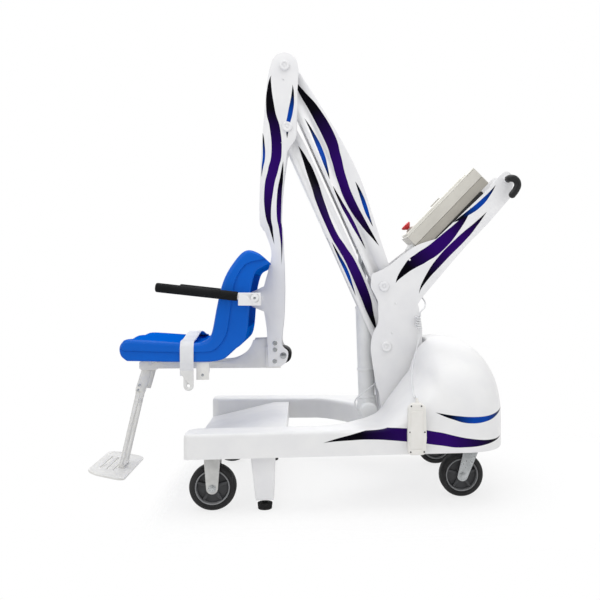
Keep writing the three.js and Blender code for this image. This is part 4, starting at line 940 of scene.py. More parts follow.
@dataclass
class Studio:
    """The camera, the lamps, the pale floor and the white surroundings."""

    camera_place: Place = (-0.0334, -2.905, 0.718)
    camera_turn: Place = (89.256, 0.0, -4.46)
    lens: float = 46.2
    shift_x: float = -0.1
    floor_size: float = 60.0
    floor_glow: float = 0.76
    glow: float = 0.74
    fade: Flat = (1.0, 3.2)
    deck_edge: Flat = (-0.54, -0.46)
    deck_side: Flat = (0.6, 0.85)

    def build(self) -> None:
        """Sets up the camera, the world, the lamps and the floor."""
        self.camera()
        self.world()
        self.lamps()
        self.floor()

    def camera(self) -> None:
        """Adds the camera at the photograph's place."""
        turn = [math.radians(a) for a in self.camera_turn]
        bpy.ops.object.camera_add(location=self.camera_place, rotation=turn)
        camera = bpy.context.object
        camera.name = "camera"
        camera.data.lens = self.lens
        camera.data.sensor_width = 36.0
        camera.data.shift_x = self.shift_x
        camera.data.clip_end = 100.0
        bpy.context.scene.camera = camera
        bpy.context.scene.view_settings.view_transform = "Standard"

    def world(self) -> None:
        """Lights the scene softly, shows white behind it and gives gloss a studio to mirror."""
        world = bpy.data.worlds.new("studio")
        bpy.context.scene.world = world
        world.use_nodes = True
        nodes = Nodes(world.node_tree)
        rays = nodes.add("ShaderNodeLightPath").outputs
        way = nodes.add("ShaderNodeTexCoord").outputs["Generated"]
        share = nodes.vector("DOT_PRODUCT", way, (0.0, 0.45, 0.4)).outputs["Value"]
        backdrop = nodes.math("ADD", share, 0.5, clamp=True)
        strength = nodes.math("MAXIMUM", rays["Is Camera Ray"], backdrop)
        seen = nodes.math("MAXIMUM", rays["Is Camera Ray"], rays["Is Glossy Ray"])
        seen = nodes.math("MAXIMUM", seen, rays["Is Transmission Ray"])
        glow = nodes.add("ShaderNodeBackground", {0: WHITE, 1: self.glow}).outputs[0]
        white = nodes.add("ShaderNodeBackground", {0: WHITE, 1: strength}).outputs[0]
        nodes.add("ShaderNodeOutputWorld", {0: nodes.blend(seen, glow, white)})

    def lamps(self) -> None:
        """Adds a large key lamp, a fill lamp, a top lamp and a lamp from behind."""
        for name, place, size, power in (
            ("key", (-2.2, -2.8, 2.6), 2.4, 25.0),
            ("fill", (2.8, -2.4, 1.5), 2.2, 9.0),
            ("top", (0.2, 0.0, 3.4), 3.2, 52.0),
            ("back", (0.8, 3.0, 2.2), 2.4, 16.0),
        ):
            bpy.ops.object.light_add(type="AREA", location=place)
            lamp = bpy.context.object
            lamp.name = name
            lamp.data.size = size
            lamp.data.energy = power
            aim = Vector((0, 0, 0.6)) - Vector(place)
            lamp.rotation_euler = aim.to_track_quat("-Z", "Y").to_euler()

    def floor(self) -> None:
        """Lays the pale floor, which keeps the object's shadow and ends at the pool's edge."""
        Bench.clear()
        bpy.ops.mesh.primitive_plane_add(size=self.floor_size)
        floor = bpy.context.object
        floor.name = "floor"
        floor.data.materials.append(self.floor_material())

    def floor_material(self) -> bpy.types.Material:
        """A matt floor that fades to white far off and is open over the pool.

        Returns:
            The material.
        """
        shader = Shader("pale_floor")
        shader.dress({"Base Color": (0.9, 0.9, 0.9, 1.0), "Roughness": 0.9})
        rays = shader.add("ShaderNodeLightPath").outputs
        camera, glossy = rays["Is Camera Ray"], rays["Is Glossy Ray"]
        x, y, _ = shader.parts(shader.places)
        strength = shader.math("MAXIMUM", camera, shader.span(y, -0.8, 0.8, 0.6, 1.0))
        glow = shader.add("ShaderNodeEmission", {0: WHITE, 1: strength}).outputs[0]
        away = shader.vector("LENGTH", shader.places).outputs["Value"]
        share = shader.span(away, *self.fade, self.floor_glow, 1.0)
        seen = shader.math("MULTIPLY", shader.math("MAXIMUM", camera, glossy), share)
        pale = shader.blend(seen, shader.body.outputs[0], glow)
        near = shader.span(shader.math("ABSOLUTE", y), *self.deck_side, 1.0, 0.0)
        unseen = shader.math("SUBTRACT", 1.0, camera)
        shown = shader.math("MAXIMUM", unseen, near)
        deck = shader.math("MULTIPLY", shader.span(x, *self.deck_edge), shown)
        above = shader.math("SUBTRACT", 1.0, shader.add("ShaderNodeNewGeometry").outputs["Backfacing"])
        solid = shader.math("MAXIMUM", deck, shader.math("MULTIPLY", glossy, above))
        clear = shader.add("ShaderNodeBsdfTransparent").outputs[0]
        shader.feed(shader.output.inputs[0], shader.blend(solid, clear, pale))
        return shader.material


@dataclass
class CoverShape:
    """The base moulding's own shape: rails, hips and dome, as heights and edges in plan."""

    front: float = -367.0
    join: float = 60.0
    middle: float = 399.0
    splay: float = math.tan(math.radians(2.5))
    width: float = 116.0
    bottom: float = 183.0
    top: float = 264.0
    centre: float = 500.0
    rear: float = 219.0
    ahead: float = 118.0
    rise: float = 283.0
    plan: float = 2.5
    square: float = 3.1
    side: float = 2.4
    tunnel: float = 100.0
    tunnel_end: float = 462.0
    neck: float = 310.0
    crest: tuple[Flat, ...] = (
        (0, 0), (0.34, 0), (0.43, 0.012), (0.514, 0.053), (0.596, 0.226), (0.705, 0.452), (0.814, 0.678),
        (0.87, 0.76), (1, 0.8),
    )

    def middle_at(self, x: float) -> float:
        """Y of a rail's centre line."""
        return self.middle - self.splay * (x - self.front)

    def outer(self, x: float) -> float:
        """Y of a rail's outer face."""
        return self.middle_at(x) + self.width / 2

    def inner(self, x: float) -> float:
        """Y of a rail's inner face."""
        return self.middle_at(x) - self.width / 2

    def edge(self, x: float) -> float:
        """Y of the hip's inner edge, which sweeps in to the mast's slot."""
        t = clamped(x, self.join, self.neck)
        start = self.inner(self.join)
        return start + (self.tunnel - start) * (1 - math.cos(math.pi * t)) / 2

    def fall(self, share: float) -> float:
        """Height at a share of the way out, as a share of the height in the middle."""
        return max(1 - min(share, 1) ** self.side, 0) ** (1 / self.side)

    def height(self, x: float, y: float) -> float:
        """The surface's height over a place in plan.

        Args:
            x: Along the lift, in millimetres.
            y: Across the lift.

        Returns:
            The height.
        """
        u = clamped(x, self.join, self.centre)
        hip = 0.0
        for (u0, v0), (u1, v1) in zip(self.crest, self.crest[1:]):
            if u0 <= u <= u1:
                hip = (v0 + (v1 - v0) * (u - u0) / (u1 - u0)) * self.fall(abs(y) / self.outer(x))
        reach, plan = (self.rear, self.square) if x > self.centre else (self.ahead, self.plan)
        out = abs((x - self.centre) / reach) ** plan + (abs(y) / self.outer(self.centre)) ** plan
        return self.top + self.rise * max(hip, self.fall(out ** (1 / plan)))


SHAPE = CoverShape()


@dataclass
class HandCord:
    """The hand control's cord: down behind the mast, five curls, then over the cover."""

    radius: float = 2.6
    start: Place = (407.9, -34.0, 866.5)
    above: tuple[Place, ...] = (
        (393, -34, 848), (391.5, -34, 826), (396, -34, 800), (410, -34, 760), (432, -38, 722),
        (452, -50, 694), (464, -70, 672), (458, -90, 652),
    )
    curl: Place = (434.0, -95.0, 622.0)
    curl_radius: float = 8.0
    pitch: float = 9.0
    curls: int = 5
    steps: int = 14
    lead: float = 5.2
    lift: float = 3.6
    on_cover: tuple[Flat, ...] = (
        (424, -116), (410, -142), (398, -186), (389, -240), (383, -300), (380, -346),
    )
    free: tuple[Place, ...] = ((378, -392, 362), (377, -426, 374), (377, -440, 366))
    end: Place = (377.0, -441.25, 353.3)

    def build(self) -> None:
        """Lays the cord along its route as one curve."""
        line = Bench.line(self.route(), self.radius, 3, 3)
        Bench.mount(line, "hand_cord", Finishes.lead, "cord_upper", "cord_curls", "cord_lower")

    def route(self) -> list[Vector]:
        """The places that the cord passes.

        Returns:
            The places in the row frame.
        """
        x, y, z = self.curl
        edge, low = x + self.curl_radius, z - self.curls * self.pitch
        above = [spot(*p) for p in (self.start, *self.above)]
        into = [spot(edge, y, z + self.lead * 2.5), spot(edge, y, z + self.lead)]
        curls = [self.curled(2 * math.pi * k / self.steps) for k in range(self.curls * self.steps + 1)]
        out = [spot(edge, y, low - self.lead), spot(edge, y, low - self.lead * 2.5)]
        cover = [spot(a, b, SHAPE.height(a, b) + self.lift) for a, b in self.on_cover]
        rest = [spot(*p) for p in (*self.free, self.end)]
        return [*above, *into, *curls, *out, *cover, *rest]

    def curled(self, turn: float) -> Vector:
        """A place on the curls, by the angle from their start in radians."""
        x, y, z = self.curl
        r, fall = self.curl_radius, self.pitch * turn / (2 * math.pi)
        return spot(x + r * math.cos(turn), y + r * math.sin(turn), z - fall)

    def declare(self, boot: Piece) -> None:
        """Works out the cord's first place and leaves it unused.

        Args:
            boot: The hand control's boot, at its far end; not used.
        """
        spot(*self.start)


@dataclass
class MotorCable:
    """The drive's cable, from the motor's side round to the tube."""

    radius: float = 2.5
    points: tuple[Place, ...] = (
        (221.4, -45, 268), (212, -46, 272), (205.5, -46.8, 280.5), (204, -48, 290), (203.5, -49.4, 299.5),
        (206, -51, 308), (212.6, -52.7, 317.5), (222, -54, 326), (234, -54.2, 335), (246, -53, 344),
        (259, -50.5, 352.5), (270, -46, 360), (279.5, -38, 366.5), (284, -28, 371), (285, -18, 375),
        (283, -10, 378),
    )

    def build(self) -> None:
        """Lays the cable along its route."""
        route = [spot(*p) for p in self.points]
        cable = Bench.line(route, self.radius, 3, 6)
        Bench.mount(cable, "motor_cable", Finishes.lead, "drive_cable")


@dataclass
class BaseMoulding:
    """The white glossy cover: two rails, two hips and the dome, moulded in one piece."""

    wall: float = 4.0
    voxel: float = 6.5
    corner: float = 26.0
    edge: float = 9.0
    depth: float = 40.0
    soft_along: Flat = (90.0, 250.0)
    soft_across: Flat = (106.0, 146.0)
    stripes: tuple[Stripe, ...] = (
        Stripe((
            (70, 226, 0), (150, 240, 8), (250, 250, 17), (350, 246, 22), (450, 232, 22), (550, 216, 15),
            (625, 214, 7), (695, 226, 0),
        ), Ink.PURPLE),
        Stripe((
            (440, 318, 0), (500, 300, 7), (560, 290, 11), (620, 292, 9), (665, 303, 5), (700, 318, 0),
        ), Ink.BLUE),
    )

    def build(self) -> None:
        """Joins rough solids, remeshes them into one skin and gives it a wall."""
        sides = (piece for side, _ in SIDES for piece in (self.hip(side), self.rail(side)))
        body = Bench.join(self.dome(), *sides)
        Bench.apply(body, "REMESH", mode="VOXEL", voxel_size=self.voxel * MM)
        Bench.apply(body, "SMOOTH", factor=0.5, iterations=6)
        Bench.apply(body, "SMOOTH", factor=0.5, iterations=36, vertex_group=self.soft_end(body))
        body.vertex_groups.clear()
        Bench.edit(body)
        bpy.ops.mesh.bisect(plane_co=spot(0, 0, SHAPE.bottom), plane_no=UP, clear_inner=True)
        bpy.ops.mesh.select_all(action="SELECT")
        bpy.ops.mesh.normals_make_consistent(inside=False)
        bpy.ops.object.mode_set(mode="OBJECT")
        Bench.apply(body, "SOLIDIFY", thickness=self.wall * MM, offset=-1)
        Bench.smooth(body, 60)
        finish = replace(Finishes.cover, name="painted_gelcoat", stripes=self.stripes, face=150.0)
        Bench.mount(body, "base_moulding", finish, "rear_cover", "rail_cover_left", "rail_cover_right")

    def soft_end(self, body: Piece) -> str:
        """Groups the hips and the dome, which are smoother than the rails.

        Args:
            body: The moulding.

        Returns:
            The group's name.
        """
        group = body.vertex_groups.new(name="soft")
        for vertex in body.data.vertices:
            x, y = (vertex.co.x - SHIFT) / MM, abs(vertex.co.y) / MM
            share = clamped(x, *self.soft_along) * clamped(y, *self.soft_across)
            group.add([vertex.index], share, "REPLACE")
        return group.name

    def dome(self) -> Piece:
        """The dome, with the mast's slot cut into its front.

        Returns:
            The piece.
        """
        Bench.clear()
        bpy.ops.mesh.primitive_uv_sphere_add(segments=160, ring_count=112, radius=1)
        dome = bpy.context.object
        floor = SHAPE.bottom - self.depth
        for vertex in dome.data.vertices:
            p = vertex.co.normalized()
            level = math.hypot(p.x, p.y)
            c, s = (p.x / level, p.y / level) if level > 1e-6 else (1.0, 0.0)
            deep = -math.asin(min(p.z, 0)) / (math.pi / 4)
            share = level ** (2 / SHAPE.side) if p.z > 0 else min(2 - deep, 1)
            reach = SHAPE.rear if c > 0 else SHAPE.ahead
            power = 2 / (SHAPE.square if c > 0 else SHAPE.plan)
            x = SHAPE.centre + math.copysign(abs(c) ** power, c) * reach * share
            y = math.copysign(abs(s) ** power, s) * SHAPE.outer(SHAPE.centre) * share
            if p.z > 0:
                z = SHAPE.top + SHAPE.rise * p.z ** (2 / SHAPE.side)
            else:
                z = SHAPE.top + (floor - SHAPE.top) * min(deep, 1) - 20 * max(deep - 1, 0)
            vertex.co = spot(x, y, z)
        slot = Bench.block(
            (SHAPE.centre - SHAPE.ahead - 40, -SHAPE.tunnel, floor - 20),
            (SHAPE.tunnel_end, SHAPE.tunnel, SHAPE.top + SHAPE.rise + 40), 0.0,
        )
        return Bench.cut(dome, slot)

    def hip(self, side: int) -> Piece:
        """The stretch that climbs from one rail to the dome.

        Args:
            side: Minus one for the sitter's left, one for the right.

        Returns:
            The piece.
        """
        run = SHAPE.centre - SHAPE.join
        crest = spline([(SHAPE.join + u * run, v) for u, v in SHAPE.crest], 12.0)
        crest.insert(0, (SHAPE.join - 30, 0.0))
        across = 20
        Bench.clear()
        bpy.ops.mesh.primitive_grid_add(x_subdivisions=len(crest) - 1, y_subdivisions=across, size=2)
        hip = bpy.context.object
        rows = sorted(hip.data.vertices, key=lambda v: (round(v.co.x, 5), v.co.y * side))
        for i, vertex in enumerate(rows):
            x, v = crest[i // (across + 1)]
            t = (i % (across + 1)) / across
            inner, outer = SHAPE.edge(x), SHAPE.outer(x)
            y = inner + (outer - inner) * math.sin(t * math.pi / 2)
            vertex.co = spot(x, side * y, SHAPE.top + max(v, 0) * SHAPE.rise * SHAPE.fall(y / outer))
        Bench.edit(hip)
        bpy.ops.mesh.extrude_region_move(TRANSFORM_OT_translate={"value": (0, 0, -0.02)})
        bpy.ops.transform.resize(value=(1, 1, 0), center_override=spot(0, 0, SHAPE.bottom - self.depth))
        return Bench.settle(hip)

    def rail(self, side: int) -> Piece:
        """One rail with its rounded pool end.

        Args:
            side: Minus one for the sitter's left, one for the right.

        Returns:
            The piece.
        """
        low, high = SHAPE.front, SHAPE.join + 10
        edge, corner = low + self.edge, low + self.corner
        half = [
            (low, SHAPE.outer(low) - self.edge), (edge, SHAPE.outer(edge)), (high, SHAPE.outer(high)),
            (high, SHAPE.inner(high)), (corner, SHAPE.inner(corner)), (low, SHAPE.inner(low) + self.corner),
        ]
        return Bench.slab([(x, side * y) for x, y in half], SHAPE.bottom - self.depth, SHAPE.top, 0.0)


@dataclass
class NoseDeck:
    """The folded deck between the rails at the pool end."""

    toe: Flat = (-363.0, 189.0)
    brow: Flat = (-109.0, 250.0)
    heel: float = -46.0
    wall: float = 3.0

    def build(self) -> None:
        """Extrudes the folded sheet and spreads it to the rails."""
        low, wall, inside = SHAPE.bottom, self.wall, self.heel - self.wall
        (toe_x, toe_z), (brow_x, brow_z) = self.toe, self.brow
        outline = [
            (toe_x, low), self.toe, self.brow, (self.heel, brow_z), (self.heel, low), (inside, low),
            (inside, brow_z - wall), (brow_x, brow_z - wall), (toe_x + wall, toe_z - wall),
            (toe_x + wall, low),
        ]
        deck = Bench.plate(outline, -1, 1, 0.0)
        for vertex in deck.data.vertices:
            x = (vertex.co.x - SHIFT) / MM
            vertex.co.y = math.copysign((SHAPE.inner(x) - 0.3) * MM, vertex.co.y)
        Bench.settle(deck, 2.0, 3, 30)
        Bench.mount(deck, "nose_deck_panel", Finishes.cover, "nose_deck")


@dataclass
class BaseFrame:
    """The welded frame, its two legs with rubber feet, and the counterweights."""

    leg_x: float = -121.0
    leg_y: float = 366.0
    leg_top: Flat = (40.6, 27.6)
    leg_toe: Flat = (29.6, 23.6)
    lean: float = 6.0
    leg_heights: Flat = (33.0, 185.0)

    def build(self) -> None:
        """Dresses the frame and adds the legs, feet and weights."""
        Bench.mount(Bench.soften("base_frame", 1.5), "welded_frame", Finishes.white, "base_frame")
        for side, word in SIDES:
            self.leg(side, word)
            self.foot(side, word)
            weight = Bench.soften(f"counterweight_{word}", 2.0, 3)
            Bench.mount(weight, f"iron_slabs_{word}", Finishes.iron, f"counterweight_{word}")

    def leg(self, side: int, word: str) -> None:
        """The tapered leg casting over the frame's own.

        Args:
            side: Minus one for the sitter's left, one for the right.
            word: The side's name.
        """
        low, high = self.leg_heights
        leg = Bench.block((-1, -1, low), (1, 1, high), 0.0)
        for vertex in leg.data.vertices:
            top = vertex.co.z > (low + high) / 2 * MM
            half, depth = self.leg_top if top else self.leg_toe
            x = self.leg_x + (0 if top else self.lean) + math.copysign(half, vertex.co.x - SHIFT)
            y = side * self.leg_y + math.copysign(depth, vertex.co.y)
            vertex.co = spot(x, y, high if top else low - 0.6)
        Bench.settle(leg, 6.0, 5, 50)
        Bench.mount(leg, f"leg_casting_{word}", Finishes.white, beside="base_frame")

    def foot(self, side: int, word: str) -> None:
        """The round rubber foot with its pad, rings and stem.

        Args:
            side: Minus one for the sitter's left, one for the right.
            word: The side's name.
        """
        profile = [
            (0, 0), (21, 0), (22.5, 1.2), (23.2, 4), (23.2, 8.5), (22.6, 9.5), (23.6, 10.5), (24.6, 18.5),
            (24.2, 20.4), (22.8, 21), (10, 21), (10, 32.7), (0, 32.7),
        ]
        foot = Bench.turned(profile, spot(self.leg_x + self.lean, side * self.leg_y, 0), UP, 48)
        Bench.mount(foot, f"foot_pad_{word}", Finishes.rubber, f"rubber_foot_{word}")


@dataclass
class Castors:
    """Four wheels on two fixed forks and two swivel forks."""

    radius: float = 76.2
    half: float = 25.0
    rim: float = 57.0
    hub: float = 52.0
    boss: float = 17.0
    bore: float = 6.6
    web: float = 14.0
    reach: float = 28.7
    fork: float = 29.0
    wall: float = 5.0
    fork_top: float = 182.7
    front: Flat = (-284.0, 362.0)
    rear: Flat = (592.0, 255.0)
    trail: float = 32.0
    deck: Flat = (45.0, 34.0)

    def build(self) -> None:
        """Builds each wheel, then the forks."""
        for side, word in SIDES:
            self.wheel("front", word, self.front[0], side * self.front[1])
            self.wheel("rear", word, self.rear[0] - self.trail, side * self.rear[1])
            self.fixed_fork(word, side * self.front[1])
            self.swivel(word, side * self.rear[1])

    def profiles(self) -> tuple[list[Flat], list[Flat], list[Flat]]:
        """The profiles of the tyre, the rim ring and the hub.

        Returns:
            The profiles, as radii and places along the axle.
        """
        r, h, rim, hub, boss = self.radius, self.half, self.rim, self.hub, self.boss
        web, reach, inner = self.web / 2, self.reach, self.rim - 0.3
        tyre = [
            (rim, 5 - h), (rim + 1, 2.4 - h), (rim + 4, 0.8 - h), (rim + 8, -h), (r - 8, 1.2 - h),
            (r - 4.2, 4 - h), (r - 1.4, 8 - h), (r, 14 - h),
        ]
        ring = [
            (inner, 6 - h), (inner - 0.6, 1.6 - h), (inner - 2.6, 0.8 - h), (hub + 0.6, 1.6 - h),
            (hub, 3 - h), (hub - 1, -9),
        ]
        dish = [
            (self.bore, -reach), (boss - 1.5, -reach), (boss, 1.5 - reach), (boss + 1.5, -web - 2),
            (boss + 5, -web), (hub - 4, -web), (hub - 0.9, -web - 3),
        ]
        return mirrored(tyre), mirrored(ring), mirrored(dish)

    def wheel(self, end: str, word: str, x: float, y: float) -> None:
        """A wheel's tyre, pale rim ring and spoked hub.

        Args:
            end: Front or rear.
            word: The side's name.
            x: Its place along the lift.
            y: Its place across the lift.
        """
        centre = spot(x, y, self.radius)
        tyre, ring, dish = self.profiles()
        tread = Bench.turned(tyre, centre, ACROSS, 72, 40)
        Bench.mount(tread, f"{end}_tread_{word}", Finishes.tyre, f"{end}_tyre_{word}")
        rim = Bench.turned(ring, centre, ACROSS, 72, 40)
        Bench.mount(rim, f"{end}_rim_{word}", Finishes.rim, beside=f"{end}_hub_{word}")
        hub = Bench.turned(dish, centre, ACROSS, 60, 40)
        hub = Bench.join(hub, *(self.spoke(x, y, 90 + 72 * k) for k in range(5)))
        Bench.mount(hub, f"{end}_spokes_{word}", Finishes.hub, f"{end}_hub_{word}")

    def spoke(self, x: float, y: float, angle: float) -> Piece:
        """One spoke, proud of the web on both faces.

        Args:
            x: The wheel's place along the lift.
            y: The wheel's place across the lift.
            angle: The spoke's angle above +X, in degrees.

        Returns:
            The piece.
        """
        root, tip = self.boss - 3, self.hub - 0.6
        outline = Axis((x, self.radius), angle).run((root, 6.5), (tip, 4), (tip, -4), (root, -6.5))
        return Bench.plate(outline, y - 18, y + 18, 1.4, 3)

    def cheeks(self, top_x: float, axle_x: float, y: float, top: float) -> list[Piece]:
        """A fork's two cheeks, from its crown to a round eye.

        Args:
            top_x: Middle of their upper edge.
            axle_x: Middle of their eye.
            y: The fork's middle.
            top: Height of their upper edge.

        Returns:
            The pieces.
        """
        outline = [(top_x + 27, top), (top_x - 27, top), *arc(axle_x, self.radius, 19, 190, 350, 18)]
        reach = self.fork + self.wall
        return [Bench.plate(outline, y + side * self.fork, y + side * reach, 1.2, 3) for side, _ in SIDES]

    def bolt(self, x: float, y: float) -> list[Piece]:
        """The axle with its hexagonal heads and washers, at a place along and across the lift."""
        reach, z = self.fork + self.wall, self.radius
        axle = Bench.across(x, z, y - reach - 7.4, y + reach + 7.4, 6.0)
        return [axle, *nuts(x, z, y, reach, (11, 1.4, 6, 1.0), (13.0, 0, 1.6))]

    def fixed_fork(self, word: str, y: float) -> None:
        """A fork bolted under a rail.

        Args:
            word: The side's name.
            y: Its middle.
        """
        x, top = self.front[0], self.fork_top
        long, wide = self.deck
        cheeks = self.cheeks(x, x, y, top - 2.5)
        plate = Bench.block((x - long, y - wide, top - 5), (x + long, y + wide, top), 1.2)
        crown = Bench.block((x - 30, y - wide, top - 13), (x + 30, y + wide, top - 4), 3.0, 3)
        fork = Bench.join(*cheeks, plate, crown)
        Bench.mount(fork, f"fixed_fork_{word}", Finishes.fork, f"front_fork_{word}")
        bolt = Bench.join(*self.bolt(x, y))
        Bench.mount(bolt, f"front_axle_bolt_{word}", Finishes.zinc, beside=f"front_fork_{word}")

    def swivel(self, word: str, y: float) -> None:
        """A swivel plate with its ball race, and the fork that turns under it.

        Args:
            word: The side's name.
            y: Its middle.
        """
        x, top, half = self.rear[0], self.fork_top, self.deck[0]
        plate = Bench.block((x - half, y - half, top - 5), (x + half, y + half, top), 1.2)
        rings = [(0, -11), (36, -11), (36, -8), (38, -6.5), (36, -5), (0, -5)]
        race = Bench.turned(rings, spot(x, y, top), UP, 48)
        head = [(0, 0), (6, 0), (6, 3), (5, 4), (0, 4)]
        bolts = [
            Bench.turned(head, spot(x + a, y + b, top - 9), UP, 6) for a in (-36, 36) for b in (-36, 36)
        ]
        top_plate = Bench.join(plate, race, *bolts)
        Bench.mount(top_plate, f"swivel_race_{word}", Finishes.zinc, f"swivel_plate_{word}")
        crown, axle = top - 5 - 6 - 0.3, x - self.trail
        cheeks = self.cheeks(x, axle, y, crown - 2.5)
        dome = [(0, -5), (31, -5), (34, -3.6), (34, -1.4), (31, 0), (0, 0)]
        cap = Bench.turned(dome, spot(x, y, crown), UP, 48)
        bridge = Bench.block((x - 27, y - 33, crown - 6), (x + 27, y + 33, crown - 2), 1.5, 3)
        fork = Bench.join(*cheeks, cap, bridge, *self.bolt(axle, y))
        Bench.mount(fork, f"swivel_arms_{word}", Finishes.zinc, f"swivel_fork_{word}")


@dataclass
class Linkage:
    """Places and sizes that the mast, the boom, the link and the hanging arm share."""

    angle: float = 114.4
    length: float = 882.0
    boom_foot: Flat = (309.0, 731.0)
    link_foot: Flat = (318.0, 509.0)
    pin: float = 12.0
    cap: float = 19.0
    play: float = 0.3
    cap_depth: float = 9.0
    collar_end: float = 75.4
    mast_inner: float = 76.0
    mast_outer: float = 82.0
    arm_inner: float = 76.0
    arm_outer: float = 81.0

    @property
    def boom(self) -> Axis:
        """The boom's line, from the mast up."""
        return Axis(self.boom_foot, self.angle)

    @property
    def link(self) -> Axis:
        """The link's line, from the mast up."""
        return Axis(self.link_foot, self.angle)

    @property
    def boom_head(self) -> Flat:
        """The arm's top pivot."""
        return self.boom.at(self.length)

    @property
    def link_head(self) -> Flat:
        """The arm's lower pivot."""
        return self.link.at(self.length)

    def bore(self, place: Flat, radius: float, steps: int = 40) -> Piece:
        """A tool that bores a hole right across the lift."""
        return Bench.across(*place, -100, 100, radius, edge=0.1, steps=steps)

    def bores(self, *places: Flat) -> list[Piece]:
        """Tools that bore holes for pivot pins."""
        return [self.bore(place, self.pin + self.play) for place in places]

    def collars(self, start: float, *places: Flat) -> list[Piece]:
        """Collars round pivot pins, between a swinging plate and its carrier.

        Args:
            start: Y of their inner ends.
            places: The pins' places in the side view.

        Returns:
            The pieces.
        """
        return [
            Bench.across(x, z, side * start, side * self.collar_end, self.cap, bore=self.pin + self.play)
            for x, z in places for side, _ in SIDES
        ]

    def capped_pin(self, place: Flat, reach: float, name: str, node: str) -> None:
        """A pivot pin with a round white cap on each end.

        Args:
            place: Its place in the side view.
            reach: Y of the outer faces that it holds.
            name: The piece's name.
            node: Its CAD node.
        """
        x, z = place
        pin = Bench.across(x, z, -reach - 4, reach + 4, self.pin)
        r, d = self.cap, self.cap_depth
        profile = [
            (0, 0), (r - 1, 0), (r, 1), (r, 3), (r - 1.2, 3.8), (r - 1.2, d - 2.6), (r - 2.4, d - 0.6),
            (r - 4.4, d), (r * 0.56, d), (r * 0.5, d - 0.5), (r * 0.47, d - 2.4), (r * 0.24, d - 2.6),
            (r * 0.22, d - 0.9), (r * 0.16, d - 0.5), (0, d - 0.4),
        ]
        caps = [
            Bench.turned(profile, spot(x, side * (reach + self.play), z), Vector((0, side, 0)), 48)
            for side, _ in SIDES
        ]
        Bench.mount(Bench.join(pin, *caps), name, Finishes.white, node)


RIG = Linkage()


@dataclass
class Mast:
    """The mast's two plates, their pins and the screws that hold them."""

    corner: Flat = (260.0, 196.0)
    size: Flat = (520.0, 960.0)
    front: tuple[Flat, ...] = (
        (0.092, 0), (0.062, 0.136), (0.04, 0.173), (0.027, 0.214), (0.011, 0.268), (0, 0.321),
        (0.013, 0.372), (0.05, 0.417), (0.053, 0.466), (0.05, 0.501), (0.013, 0.541), (0, 0.56),
        (0.008, 0.602), (0.031, 0.61), (0.119, 0.633), (0.235, 0.682), (0.333, 0.717), (0.467, 0.741),
    )
    top: tuple[Flat, ...] = ((0.856, 0.941), (0.873, 0.955), (0.956, 1), (1.005, 0.997), (1.03, 0.962))
    back: tuple[Flat, ...] = (
        (0.998, 0.898), (0.831, 0.795), (0.706, 0.727), (0.638, 0.686), (0.498, 0.598), (0.35, 0.501),
        (0.344, 0.474), (0.365, 0.403), (0.367, 0.36), (0.36, 0),
    )
    handle: Flat = (768.0, 1128.0)
    bar: float = 11.0
    beam: tuple[float, float, float] = (319.7, 410.3, 243.3)
    plate_bolts: tuple[Flat, ...] = ((338.0, 560.0), (352.0, 668.0), (404.0, 830.0))
    stripes: tuple[Stripe, ...] = (
        Stripe((
            (352, 742, 0), (392, 796, 15), (446, 836, 24), (514, 884, 24), (580, 950, 15), (634, 1026, 0),
        ), Ink.PURPLE),
        Stripe((
            (440, 700, 0), (474, 772, 9), (528, 838, 15), (592, 902, 15), (650, 960, 8), (696, 1012, 0),
        ), Ink.PURPLE),
        Stripe((
            (566, 968, 0), (618, 1000, 8), (664, 1034, 10), (702, 1074, 6), (728, 1112, 0),
        ), Ink.BLUE),
    )

    def placed(self, shares: Sequence[Flat]) -> list[Flat]:
        """Places of outline points that are given as shares of the mast."""
        return [(self.corner[0] + u * self.size[0], self.corner[1] + v * self.size[1]) for u, v in shares]

    def build(self) -> None:
        """Cuts one plate, copies it to the other side and adds the pins."""
        front, back = (spline(self.placed(line), 9) for line in (self.front, self.back))
        outline = [*front, *spline(self.placed(self.top), 8), *back]
        plate = Bench.plate(outline, -RIG.mast_outer, -RIG.mast_inner, 1.3, 3)
        low, high, top = self.beam
        beam = Bench.block((low, -100, 150), (high, 100, top), 0.0)
        holes = RIG.bores(RIG.boom_foot, RIG.link_foot)
        Bench.cut(plate, *holes, RIG.bore(self.handle, self.bar + RIG.play), beam)
        Bench.smooth(plate)
        finish = replace(Finishes.white, name="painted_mast", stripes=self.stripes, face=81.6)
        Bench.mount_pair(plate, "mast_side", finish, "mast_plate")
        RIG.capped_pin(RIG.boom_foot, RIG.mast_outer, "boom_pivot_pin", "boom_pin")
        RIG.capped_pin(RIG.link_foot, RIG.mast_outer, "link_pivot_pin", "link_pin")
        heads = screw_heads(self.plate_bolts, RIG.mast_outer, 4.2)
        Bench.mount(Bench.join(*heads), "mast_screws", Finishes.white, beside="mast_plate_left")


def nuts(x: float, z: float, y: float, face: float, head: tuple[float, ...], washer: Place) -> list[Piece]:
    """Hexagonal heads and washers on both ends of an axle.

    Args:
        x: The axle's place along the lift.
        z: Its height.
        y: Its middle.
        face: How far from the middle the faces are that it holds.
        head: Radius, start, end and bevel of a head, measured from the face.
        washer: Radius, start and end of a washer.

    Returns:
        The pieces.
    """
    radius, low, high, bevel = head
    wide, start, end = washer
    pieces = []
    for side, _ in SIDES:
        hexagon = arc(x, z, radius, 30, 330, 5)
        pieces.append(Bench.plate(hexagon, y + side * (face + low), y + side * (face + high), bevel, 3))
        pieces.append(Bench.across(x, z, y + side * (face + start), y + side * (face + end), wide))
    return pieces


def screw_head(place: Vector, axis: Vector, r: float) -> Piece:
    """A low round screw head with a hexagonal socket."""
    rim = [(0, -0.4), (r, -0.4), (r, 0.8), (r * 0.9, 1.5), (r * 0.72, 1.9), (r * 0.5, 2.0)]
    return Bench.turned([*rim, (r * 0.46, 1.0), (0, 1.0)], place, axis, 24)


